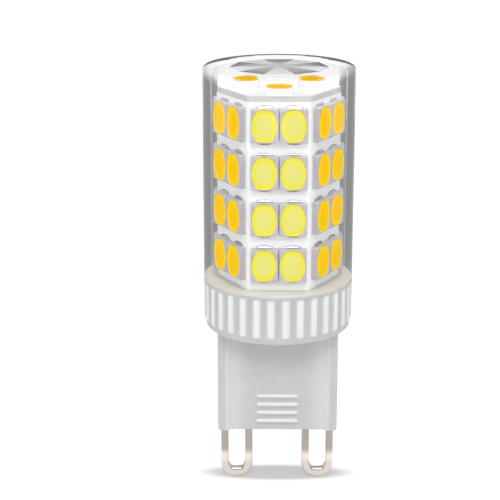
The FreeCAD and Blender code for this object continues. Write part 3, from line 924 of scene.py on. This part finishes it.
        lower = arc((valley - self.turn, under + self.turn), self.turn, -90.0, 0.0, 5)
        rings = [ring(at, height, 0.0) for at, height in lower]
        shares = (0.0, 0.35, 0.65, 1.0)
        for share in shares:
            height = under + self.lip + self.run_out * share
            rings.append(ring(valley + self.relief * ease(share), height, ease(share)))
        for share in shares:
            rings.append(ring(radius, deck - self.rim - self.run_out * (1.0 - share), 1.0 - ease(share)))
        rings += [ring(radius, deck - self.edge, 0.0), ring(radius - self.edge, deck, 0.0)]
        half = math.pi / FACES
        hexagon = [(self.well / math.cos((a + front + half) % (2.0 * half) - half), a) for a in angles]
        edge, floor = (skin.ring(polar(r, a, z) for r, a in hexagon) for z in (deck, self.well_floor))
        deck_coat = 1
        skin.cap(rings[0])
        skin.loft(rings)
        skin.loft([rings[-1], edge, floor], deck_coat)
        skin.cap(floor)

    def add_bar(self, skin: Skin, side: Side, foot: float) -> None:
        """Add one grip bar, a wedge that fades out at both ends.

        Args:
            skin: The mesh in the making.
            side: The front or the back.
            foot: The height of its underside.
        """
        inner = self.panel_half - self.bar_root
        centre = foot + self.bar_rise * self.bar_middle
        rings = []
        for along, share in (*((-along, share) for along, share in self.bar_ends[::-1]), *self.bar_ends):
            reach = self.panel_half + self.bar_proud * share - inner
            size = self.bar_thin + (1.0 - self.bar_thin) * share
            points = []
            for out, up, _ in self.bar_wedge:
                height = centre + (foot + self.bar_rise * up - centre) * size
                points.append(Vector((along * self.bar_half, side.sign * (inner + reach * out), height)))
            # Painted highlight on each bar's upper slope, none on its underside.
            rings.append(skin.ring(points, [bright for _, _, bright in self.bar_wedge]))
        skin.solid(rings)


@dataclass
class ContactPins:
    """The two looped pins, each a rounded strip bent round at its foot, with a painted glint above the bend
    and a painted highlight round it.

    Attributes:
        leg: The width of a leg.
        toe: The strip's height at the foot of the loop.
        chamfer_run: The width of the inner corners.
        chamfer_rise: Their height.
        inner_top: The height where the inner leg ends in the base.
        power: How square the strip's section is, 2 for an oval.
        corner_power: How tight the loop's inner corners are.
        toe_shine: The painted highlight round the bend, from 0 as the legs to 1.
        shine_heights: The heights over the bend's centre where the legs are plain, carry a painted glint, and
            take the toe's painted highlight.
        steps: The stretches round the loop.
        section_steps: The stretches round the strip's section.
        crease: Edges that turn by more than this many degrees stay sharp.
    """

    leg: float = 0.82 * MM
    toe: float = 1.2 * MM
    chamfer_run: float = 0.4 * MM
    chamfer_rise: float = 0.65 * MM
    inner_top: float = 1.9 * MM
    power: float = 3.2
    corner_power: float = 14.0
    toe_shine: float = 0.62
    shine_heights: Triple = (1.9 * MM, 0.95 * MM, 0.1 * MM)
    steps: int = 48
    section_steps: int = 28
    crease: float = 50.0

    def build(self, finish: Finish) -> list[bpy.types.Object]:
        """Make both pins in the place of their CAD nodes."""
        sides = (("pin_left", Side.LEFT), ("pin_right", Side.RIGHT))
        return [dress(self.pin(node, side), [finish], node) for node, side in sides]

    def pin(self, node: str, side: Side) -> bpy.types.Object:
        """Make one pin.

        Args:
            node: The CAD node that gives its place.
            side: The side of the base that it stands on.

        Returns:
            The pin.
        """
        low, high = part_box(node)
        centre, half = (low.x + high.x) / 2.0, (high.x - low.x) / 2.0
        bend = low.z + half
        # Painted glint and highlight: plain legs, a glint above the bend, and a lighter toe round it.
        shine = (0.0, 1.0, self.toe_shine)
        levels = [(bend + rise, bright) for rise, bright in zip(self.shine_heights, shine)]
        stations = [((-half, z), (self.leg - half, z), bright) for z, bright in ((high.z, 0.0), *levels)]
        for index in range(self.steps + 1):
            angle = math.pi + math.pi * index / self.steps
            reaches = (half, self.inner_reach(angle, half))
            outer, inner = ((reach * math.cos(angle), bend + reach * math.sin(angle)) for reach in reaches)
            stations.append((outer, inner, self.toe_shine))
        levels = [*levels[::-1], (self.inner_top, 0.0)]
        stations += [((half, z), (half - self.leg, z), bright) for z, bright in levels]
        skin = Skin()
        rings = []
        for outer, inner, bright in stations:
            rings.append(skin.ring(self.slice(outer, inner, high.y, centre, side), bright))
        skin.solid(rings)
        return skin.finish(node + "_strip", self.crease)

    def inner_reach(self, angle: float, half: float) -> float:
        """How far the loop's inner edge lies from the bend's centre.

        Args:
            angle: The direction from the centre.
            half: Half the loop's width.

        Returns:
            The distance, with the corners a little rounded.
        """
        inside, floor = half - self.leg, half - self.toe
        across, down = abs(math.cos(angle)), abs(math.sin(angle))
        run, rise = self.chamfer_run, self.chamfer_rise
        slant = (inside * rise + (floor - rise) * run) / (across * rise + down * run)
        return nearest((slant, inside / max(across, LEAST), floor / max(down, LEAST)), self.corner_power)

    def slice(self, outer: Point, inner: Point, depth: float, centre: float, side: Side) -> list[Vector]:
        """One section of the strip, a rounded rectangle between two edge points.

        Args:
            outer: The outer edge's point, across and up.
            inner: The inner edge's point.
            depth: Half the strip's depth.
            centre: The loop's centre along X.
            side: The side of the base, which mirrors the strip.

        Returns:
            The section's points.
        """
        points = []
        for angle in around(self.section_steps):
            parts = (math.cos(angle), math.sin(angle))
            along, across = (math.copysign(abs(part) ** (2.0 / self.power), part) for part in parts)
            x, z = between(inner, outer, (1.0 + along) / 2.0)
            points.append(Vector((centre + side.sign * x, depth * across, z)))
        return points


@dataclass
class LedPackage:
    """One LED: a moulded package with a barrel window, its phosphor fill and the solder at both ends.

    Attributes:
        width: The package's width.
        length: Its length.
        height: Its height over the board.
        corner: The radius of its upright corners.
        edge: The width of the round along its rim.
        window_width: The window's width in the middle.
        window_height: The window's height.
        window_flat: The width of its flat top and bottom.
        window_power: How tight the window's corners are.
        recess: The window's depth.
        sink: How far the fill lies below the rim.
        dome: The fill's rings: the share of the window's size, the height over its level and the brightness.
        dome_tip: The height of the fill's middle over its level.
        dome_steps: The stretches round each ring.
        solder_width: The solder's width.
        solder_reach: How far it runs out on the board.
        solder_rise: How high it climbs.
        solder_columns: The stretches across it.
        solder_rows: The stretches down its slope.
        solder_curve: The powers that shape its slope, along the board and up.
        solder_ends: The share of its size that is left at its two ends.
    """

    width: float = 2.85 * MM
    length: float = 3.5 * MM
    height: float = 0.7 * MM
    corner: float = 0.12 * MM
    edge: float = 0.06 * MM
    window_width: float = 2.66 * MM
    window_height: float = 3.38 * MM
    window_flat: float = 1.3 * MM
    window_power: float = 16.0
    recess: float = 0.3 * MM
    sink: float = 0.04 * MM
    dome: tuple[Triple, ...] = (
        (0.985, 0.012 * MM, 1.0), (0.95, -0.004 * MM, 0.95), (0.9, -0.008 * MM, 0.9),
        (0.75, 0.004 * MM, 0.75), (0.5, 0.02 * MM, 0.5), (0.25, 0.03 * MM, 0.25),
    )
    dome_tip: float = 0.034 * MM
    dome_steps: int = 48
    solder_width: float = 1.9 * MM
    solder_reach: float = 0.3 * MM
    solder_rise: float = 0.34 * MM
    solder_columns: int = 14
    solder_rows: int = 5
    solder_curve: Point = (0.9, 1.3)
    solder_ends: float = 0.02

    def reach(self, angle: float) -> float:
        """How far the window's edge lies from its centre.

        Args:
            angle: The direction from the centre.

        Returns:
            The distance, with the four corners a little rounded.
        """
        half, sag = self.window_height / 2.0, (self.window_width - self.window_flat) / 2.0
        radius = (half * half + sag * sag) / (2.0 * sag)
        across, up = abs(math.cos(angle)), abs(math.sin(angle))
        back = radius - self.window_width / 2.0
        side = math.sqrt(radius * radius - (back * up) ** 2) - back * across
        return nearest((side, half / max(up, LEAST)), self.window_power)

    def add_body(self, skin: Skin, place: Matrix) -> None:
        """Add the package with its window recess.

        Args:
            skin: The mesh in the making.
            place: Where it goes, with +Z away from the board.
        """
        half_wide, half_long, top, edge = self.width / 2.0, self.length / 2.0, self.height, self.edge
        angles = [math.atan2(y, x) for x, y in rounded_rectangle(half_wide, half_long, self.corner)]
        rings = []
        for inset, height in ((0.0, 0.0), (0.0, top - edge), (edge * 0.3, top - edge * 0.3), (edge, top)):
            outline = rounded_rectangle(half_wide - inset, half_long - inset, self.corner)
            rings.append(skin.ring(place @ Vector((x, y, height)) for x, y in outline))
        for scale, height in ((1.02, top), (1.0, top - 0.02 * MM), (0.95, top - self.recess)):
            rings.append(skin.ring(place @ polar(self.reach(a) * scale, a, height) for a in angles))
        skin.solid(rings)

    def add_fill(self, skin: Skin, place: Matrix) -> None:
        """Add the phosphor fill, a shallow dome with a narrow meniscus.

        Args:
            skin: The mesh in the making.
            place: Where it goes, with +Z away from the board.
        """
        level = self.height - self.sink
        rings = []
        for scale, rise, bright in ((0.94, self.sink - self.recess, 1.0), *self.dome):
            points = [place @ polar(self.reach(a) * scale, a, level + rise) for a in around(self.dome_steps)]
            rings.append(skin.ring(points, bright))
        skin.cap(rings[0])
        skin.loft(rings)
        skin.cone(rings[-1], place @ polar(0.0, 0.0, level + self.dome_tip))

    def add_solder(self, skin: Skin, place: Matrix) -> None:
        """Add the two solder fillets, half lenses against the package's ends.

        Args:
            skin: The mesh in the making.
            place: Where they go, with +Z away from the board.
        """
        half, edge = self.solder_width / 2.0, self.length / 2.0 - 0.01 * MM
        root = edge - 0.02 * MM
        for side in (1.0, -1.0):
            rings = []
            for column in range(self.solder_columns + 1):
                across = math.cos(math.pi * column / self.solder_columns)
                bulge = math.sqrt(max(1.0 - across * across, 0.0)) + self.solder_ends
                wall = [(root, 0.0), (root, self.solder_rise * bulge)]
                for row in range(1, self.solder_rows + 1):
                    turn = math.pi / 2.0 * row / self.solder_rows
                    out = self.solder_reach * bulge * (1.0 - math.cos(turn)) ** self.solder_curve[0]
                    up = self.solder_rise * bulge * (1.0 - math.sin(turn)) ** self.solder_curve[1]
                    wall.append((edge + out, up))
                rings.append(skin.ring(place @ Vector((half * across, side * y, z)) for y, z in wall))
            skin.solid(rings)


@dataclass
class LedTube:
    """The LEDs of the six side boards and the top board.

    Attributes:
        package: The LED that they all carry.
        columns: The LEDs across a side board.
        rows: The LEDs up a side board.
        lift: How far the LEDs of the side boards sit above the middle of their places.
        turned: The faces, front and back, whose fill takes the paler copy with painted reflection.
        crease: Edges that turn by more than this many degrees stay sharp.
    """

    package: LedPackage
    columns: int = 2
    rows: int = 4
    lift: float = 0.13 * MM
    turned: tuple[int, ...] = (1, 4)
    crease: float = 38.0

    def side_places(self, face: int) -> list[Matrix]:
        """Where the LEDs of a side board go.

        Args:
            face: The face's number, 1 at the front.

        Returns:
            One placement for each LED.
        """
        low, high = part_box("led_housings_1")
        half_wide, half_long = self.package.width / 2.0, self.package.length / 2.0
        first, last = (low.x + half_wide, low.z + half_long), (high.x - half_wide, high.z - half_long)
        turn = Matrix.Rotation(2.0 * math.pi / FACES * (face - 1), 4, "Z")
        stand = Matrix.Rotation(math.pi / 2.0, 4, "X")
        places = []
        for row in range(self.rows):
            z = between(first, last, row / (self.rows - 1))[1] + self.lift
            for column in range(self.columns):
                x = between(first, last, column / (self.columns - 1))[0]
                places.append(turn @ Matrix.Translation((x, high.y, z)) @ stand)
        return places

    def top_places(self) -> list[Matrix]:
        """Where the three LEDs of the top board go.

        Returns:
            One placement for each LED.
        """
        low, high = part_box("top_led_housings")
        side, half_long = high.x - self.package.width / 2.0, self.package.length / 2.0
        far = high.y - half_long
        spots = ((0.0, low.y + half_long), (-side, far), (side, far))
        return [Matrix.Translation((x, y, low.z)) for x, y in spots]

    def group(
        self, name: str, add: Callable[[Skin, Matrix], None], places: Iterable[Matrix],
    ) -> bpy.types.Object:
        """Make one piece of several copies.

        Args:
            name: The piece's name.
            add: What adds one copy.
            places: Where the copies go.

        Returns:
            The piece.
        """
        skin = Skin()
        for place in places:
            add(skin, place)
        return skin.finish(name, self.crease)

    def build(self, bodies: Sequence[Finish], fills: Sequence[Finish], solders: Sequence[Finish]) -> None:
        """Make the LEDs of all boards in the place of their CAD nodes.

        Args:
            bodies: The packages' finishes: a grey copy with painted shade on the side boards, and white on
                the top board.
            fills: The fills' finishes: the amber on most side boards, a paler copy with painted reflection on
                the front and back boards, and a darker copy with painted shade on the top board.
            solders: The solder's finishes on the side boards and on the top board.
        """
        led = self.package
        sets = []
        for face in range(1, FACES + 1):
            # The front and back boards take the fill's copy with painted reflection.
            sets.append((f"_{face}", "", self.side_places(face), fills[face in self.turned]))
        sets.append(("", "top_", self.top_places(), fills[-1]))
        for tail, head, places, fill in sets:
            top = bool(head)
            layers = (
                ("led_bodies", led.add_body, bodies[top], "led_housings"),
                ("led_fills", led.add_fill, fill, "phosphors"),
                ("solder_beads", led.add_solder, solders[top], "solder_fillets"),
            )
            for piece, add, finish, node in layers:
                dress(self.group(head + piece + tail, add, places), [finish], head + node + tail)


@dataclass(frozen=True)
class Lamp:
    """A soft rectangular lamp.

    Attributes:
        name: Its name.
        place: Where it hangs.
        wide: Its width.
        high: Its height.
        power: Its power, in watts.
    """

    name: str
    place: Triple
    wide: float
    high: float
    power: float

    def hang(self, aim: Vector) -> None:
        """Hang the lamp so that it looks at a point.

        Args:
            aim: The point.
        """
        light = bpy.data.lights.new(self.name, "AREA")
        light.shape = "RECTANGLE"
        light.size, light.size_y = self.wide, self.high
        light.energy = self.power
        holder = placed(self.name, light)
        holder.location = self.place
        holder.rotation_euler = (aim - Vector(self.place)).to_track_quat("-Z", "Y").to_euler()


@dataclass
class Studio:
    """The camera, the pale floor and the soft light.

    Attributes:
        stand: The camera's place.
        pitch: How far it looks down, in degrees.
        yaw: How far it looks to the left, in degrees.
        lens: Its focal length, in millimetres.
        floor_half: Half the floor's side.
        floor_bounce: The floor's grey as the bulb gets its light.
        floor_shade: The floor's grey as the camera sees it, without the floor's own light.
        pool_stretch: What each axis is multiplied by, to make the painted shadow under the bulb an oval.
        pool_shift: What is then added to Y, which moves the painted shadow a little to the back.
        pool_edge: The distances from its middle where the painted shadow begins and ends to brighten.
        pool_light: The floor's own light inside the painted shadow and outside it; lower inside, which paints
            the shadow.
        fill: The strength of the light from all round.
        lamps: The lamps.
        aim: The height that the lamps look at.
        card_radius: The distance of the grey cards from the axis.
        card_split: The height where the ring of card gives way to four quarters.
        card_gap: The angle from each side's middle to the nearest quarter, in degrees.
        card_turn: How far the quarters are turned to face the camera, in degrees.
        card_fade: The height where their grey begins to fade to white.
        card_slant: How much lower the fade begins at the ends of a quarter, over the same width.
        card_top: The height of their upper edge.
        card_rise: The height of the ring's foot over the floor.
        card_foot: The height over which the ring's foot fades from white.
        card_grey: The cards' grey.
        card_step: The angle of one flat stretch of card, in degrees.
    """

    stand: Triple = (-1.388 * MM, -149.12 * MM, 63.91 * MM)
    pitch: float = 16.508
    yaw: float = 0.63
    lens: float = 103.89
    floor_half: float = 2.0
    floor_bounce: float = 0.8
    floor_shade: float = 0.17
    pool_stretch: Triple = (1.0, 4.2, 0.0)
    pool_shift: float = -4.0 * MM
    pool_edge: Range = (5.8 * MM, 10.2 * MM)
    pool_light: Range = (0.46, 0.9)
    fill: float = 0.44
    lamps: tuple[Lamp, ...] = (
        Lamp("lamp_top", (0.0, -0.1, 1.4), 0.4, 0.4, 8.6),
        Lamp("lamp_key", (0.0, -1.0, 1.0), 0.7, 0.5, 8.0),
        Lamp("lamp_left", (-0.55, -0.25, 0.2), 0.12, 0.5, 0.95),
        Lamp("lamp_right", (0.55, -0.25, 0.2), 0.12, 0.5, 0.9),
    )
    aim: float = 15.0 * MM
    card_radius: float = 44.0 * MM
    card_split: float = 25.0 * MM
    card_gap: float = 10.8
    card_turn: float = 0.4
    card_fade: float = 31.8 * MM
    card_slant: float = 2.2 * MM
    card_top: float = 34.0 * MM
    card_rise: float = 0.1 * MM
    card_foot: float = 1.8 * MM
    card_grey: Colour = (0.26, 0.26, 0.262)
    card_step: float = 4.0

    def build(self) -> None:
        """Set up the whole studio."""
        bpy.context.scene.view_settings.view_transform = "Standard"
        self.add_camera()
        level = min(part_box("pin_left")[0].z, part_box("pin_right")[0].z)
        self.add_floor(level)
        self.add_world()
        for lamp in self.lamps:
            lamp.hang(Vector((0.0, 0.0, self.aim)))
        self.add_cards(level + self.card_rise)

    def add_camera(self) -> None:
        """Put the camera where the photograph was taken from."""
        camera = bpy.data.cameras.new("camera")
        camera.lens = self.lens
        camera.sensor_width = 36.0
        camera.clip_start, camera.clip_end = 0.01, 20.0
        holder = placed("camera", camera)
        holder.location = self.stand
        holder.rotation_euler = (math.radians(90.0 - self.pitch), 0.0, math.radians(self.yaw))
        bpy.context.scene.camera = holder

    def add_floor(self, level: float) -> None:
        """Lay the pale floor under the pins, with a painted shadow in an oval under the bulb.

        Args:
            level: The height of the pins' feet.
        """
        skin = Skin()
        half = self.floor_half
        square = ((-half, -half), (half, -half), (half, half), (-half, half))
        skin.cap(skin.ring(Vector((x, y, level)) for x, y in square))
        floor = skin.finish("floor")
        shader = Shader(bpy.data.materials.new("pale_floor"))
        # Painted shadow: in an oval under the bulb, the floor's own light, as the camera, gloss and clear
        # plastic see it, is lower, so the floor looks darker there.
        far = shader.reach(self.pool_stretch, self.pool_shift)
        light = shader.remap(far, self.pool_edge, self.pool_light, "SMOOTHSTEP")
        greys = (self.floor_bounce, self.floor_shade)
        paper, shade = (shader.result("BsdfDiffuse", {"Color": (grey, grey, grey, 1.0)}) for grey in greys)
        lift = shader.result("Emission", {"Color": WHITE, "Strength": light})
        lit = shader.result("AddShader", {0: shade, 1: lift})
        shader.close(shader.result("MixShader", {"Fac": shader.seen(), 1: paper, 2: lit}))
        floor.data.materials.append(shader.owner)

    def add_world(self) -> None:
        """Light the scene from all round, and show white behind it."""
        shader = Shader(bpy.data.worlds.new("studio"))
        bpy.context.scene.world = shader.owner
        powers = (self.fill, 1.0)
        soft, plain = (shader.result("Background", {"Color": WHITE, "Strength": power}) for power in powers)
        shader.close(shader.result("MixShader", {"Fac": shader.seen(), 1: soft, 2: plain}))

    def add_cards(self, foot: float) -> None:
        """Stand grey cards round the bulb that only its gloss and its clear cover show.

        Args:
            foot: The height of their lower edge.
        """
        shader = Shader(bpy.data.materials.new("grey_card"))
        parts = shader.add("SeparateXYZ", {"Vector": shader.place()}).outputs
        sizes = [shader.result("Math", {0: parts[axis]}, operation="ABSOLUTE") for axis in "XY"]
        nearer = shader.result("Math", {0: sizes[0], 1: sizes[1]}, operation="MINIMUM")
        reach = self.card_radius * math.sin(math.radians(self.card_gap))
        slant = shader.remap(nearer, (reach, reach + self.card_slant), (self.card_slant, 0.0))
        height = shader.result("Math", {0: slant, 1: parts["Z"]}, operation="ADD")
        rise = shader.remap(height, (self.card_fade, self.card_top), curve="SMOOTHSTEP")
        sink = shader.remap(parts["Z"], (foot, foot + self.card_foot), (1.0, 0.0), "SMOOTHSTEP")
        colour = shader.blend(shader.highest(rise, sink), self.card_grey, WHITE[:3])
        shader.close(shader.result("Emission", {"Color": colour, "Strength": 1.0}))
        self.add_card("card_ring", shader.owner, (0.0, 360.0), (foot, self.card_split))
        for quarter in range(4):
            span = (90.0 * quarter + self.card_gap + self.card_turn, 90.0 - 2.0 * self.card_gap)
            self.add_card(f"card_upper_{quarter}", shader.owner, span, (self.card_split, self.card_top))

    def add_card(self, name: str, grey: bpy.types.Material, span: Range, edges: Range) -> None:
        """Stand one curved card about the axis.

        Args:
            name: The card's name.
            grey: Its material.
            span: The azimuth where it begins, from the back, and the angle that it covers, in degrees.
            edges: The heights of its lower and upper edges.
        """
        steps = max(int(span[1] / self.card_step), 1)
        angles = [math.radians(90.0 - span[0] - span[1] * step / steps) for step in range(steps + 1)]
        skin = Skin()
        rods = [skin.ring(polar(self.card_radius, angle, z) for z in edges) for angle in angles]
        for before, after in zip(rods, rods[1:]):
            skin.cap((before[0], after[0], after[1], before[1]))
        card = skin.finish(name)
        card.data.materials.append(grey)
        card.visible_camera = False
        card.visible_diffuse = False
        card.visible_shadow = False


# The rim colour is painted highlight on the base's rails, slopes, rib crests and bar tops.
BASE = EdgedFinish(
    "moulded_base", (0.53, 0.53, 0.53), (0.5, 0.5, 0.505), 0.34, 0.42, glow=0.05, slot="base_white",
    rim=(0.78, 0.78, 0.78), start=0.0,
)
DECK = Finish("moulded_deck", (0.64, 0.605, 0.555), (0.6, 0.57, 0.525), 0.3, 0.4)
# The rim colour is a painted glint and highlight at the pins' bend.
PLATED = EdgedFinish(
    "plated_pin", (0.46, 0.42, 0.38), (0.42, 0.385, 0.345), 0.24, 0.36, spot=0.5 * MM, grain=0.03 * MM,
    relief=0.002 * MM, metallic=1.0, stretch=(1.0, 1.0, 0.25), slot="pin_nickel", rim=(0.86, 0.79, 0.72),
    start=0.0,
)
CLEAR = ClearFinish("clear_cover_plastic", 1.001, gloss=0.5, bloom=0.3, slot="cover_clear")
CROWN = ClearFinish("clear_crown_plastic", 1.001, (0.85, 0.85, 0.85), (0.85, 0.85, 0.85))
# The star's facets bend no light: their tints are painted shade darkening towards the outer edge, and painted
# reflection brightening there.
GREY_FACET = ClearFinish("star_facet_painted_shade", 1.001, (0.28, 0.28, 0.28), (0.09, 0.09, 0.092))
BRIGHT_FACET = ClearFinish("star_facet_painted_reflection", 1.001, (0.3, 0.3, 0.3), (0.62, 0.62, 0.62))
# The rim's dark edge is painted shade, by Fresnel, in the place of light that the edge would keep inside.
RIM = RimFinish("clear_rim_plastic", 1.001, outer_tint=(0.03, 0.03, 0.031), gloss=0.4)
# A grey copy of the white package for the side boards: painted shade.
PAINTED_SHADE_BODY = Finish("led_package", (0.5, 0.48, 0.52), (0.54, 0.52, 0.56), 0.25, 0.35, slot="led_body")
TOP_BODY = Finish("led_package_white", (0.84, 0.83, 0.85), (0.8, 0.79, 0.81), 0.3, 0.4, slot="led_body")
AMBER = EdgedFinish(
    "phosphor_amber", (0.98, 0.58, 0.0), (0.96, 0.55, 0.0), 0.4, 0.5,
    spot=0.5 * MM, shine=0.0, slot="phosphor", rim=(1.0, 0.66, 0.0),
)
# A darker copy of the amber fill for the top board: painted shade.
PAINTED_SHADE_FILL = EdgedFinish(
    "phosphor_painted_shade", (0.74, 0.41, 0.0), (0.7, 0.39, 0.0), 0.4, 0.5,
    spot=0.5 * MM, shine=0.0, slot="phosphor", rim=(0.86, 0.5, 0.0),
)
# A paler copy of the amber fill for the front and back boards: painted reflection.
PAINTED_REFLECTION_FILL = EdgedFinish(
    "phosphor_painted_reflection", (0.75, 0.73, 0.17), (0.77, 0.74, 0.2), 0.4, 0.5,
    spot=0.5 * MM, shine=0.3, slot="phosphor", rim=(0.83, 0.75, 0.01),
)
SOLDER = Finish(
    "bright_solder", (0.58, 0.57, 0.56), (0.46, 0.45, 0.44), 0.12, 0.3,
    grain=0.12 * MM, metallic=1.0, slot="solder",
)
DULL_SOLDER = Finish(
    "dull_solder", (0.86, 0.86, 0.86), (0.78, 0.78, 0.78), 0.3, 0.45, grain=0.12 * MM, slot="solder",
)
MASK = Finish(
    "white_solder_mask", (0.97, 0.97, 0.965), (0.95, 0.95, 0.95), 0.2, 0.3, grain=0.2 * MM, coat=0.3,
)
LAMINATE = Finish("driver_laminate", (0.03, 0.16, 0.07), (0.04, 0.2, 0.09), 0.3, 0.42, coat=0.3)
BLACK = Finish("component_black", (0.02, 0.02, 0.022), (0.035, 0.035, 0.037), 0.4, 0.55)
FILM = Finish("film_dip", (0.28, 0.07, 0.02), (0.33, 0.09, 0.03), 0.15, 0.25, coat=0.5)
LACQUER = Finish("resistor_lacquer", (0.2, 0.32, 0.26), (0.24, 0.36, 0.3), 0.3, 0.4)
CAN = Finish(
    "drawn_can", (0.72, 0.73, 0.75), (0.62, 0.63, 0.66), 0.2, 0.34, metallic=1.0, stretch=(1.0, 1.0, 0.1),
)
RUBBER = Finish("seal_rubber", (0.025, 0.025, 0.025), (0.04, 0.04, 0.04), 0.7, 0.85)
WIRE = Finish(
    "tinned_wire", (0.7, 0.69, 0.67), (0.6, 0.59, 0.57), 0.2, 0.35, metallic=1.0, stretch=(1.0, 1.0, 0.1),
)


def coat_boards() -> None:
    """Give the side boards and the top board their white mask."""
    for face in range(1, FACES + 1):
        coat(f"side_board_{face}", MASK)
    low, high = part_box("top_board")
    layers = LayeredFinish(
        "top_laminate", (0.86, 0.86, 0.86), (0.72, 0.71, 0.7), 0.2, 0.3, grain=0.2 * MM, coat=0.5, low=low.z,
        high=high.z, core=(0.62, 0.61, 0.6),
    )
    coat("top_board", layers)


def coat_driver() -> None:
    """Give the driver inside the base its finishes."""
    finishes = {
        "driver_board": LAMINATE,
        "driver_chip": BLACK,
        "bridge_rectifier": BLACK,
        "chip_resistors": BLACK,
        "film_capacitor": FILM,
        "fuse_resistor": LACQUER,
        "capacitor_can": CAN,
        "capacitor_seal": RUBBER,
        "capacitor_leads": WIRE,
        "board_leads": WIRE,
    }
    for node, finish in finishes.items():
        coat(node, finish)


def main() -> None:
    """Build the bulb's pieces in order and set up the studio."""
    logging.basicConfig(level=logging.INFO, format="%(message)s")
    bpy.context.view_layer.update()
    Studio().build()
    ContactPins().build(PLATED)
    BaseHousing().build(BASE, DECK)
    coat_driver()
    coat_boards()
    LedTube(LedPackage()).build((PAINTED_SHADE_BODY, TOP_BODY), (AMBER, PAINTED_REFLECTION_FILL, PAINTED_SHADE_FILL), (SOLDER, DULL_SOLDER))
    ClearCover().build((CLEAR, CROWN, GREY_FACET, BRIGHT_FACET, RIM))


if __name__ == "__main__":
    main()
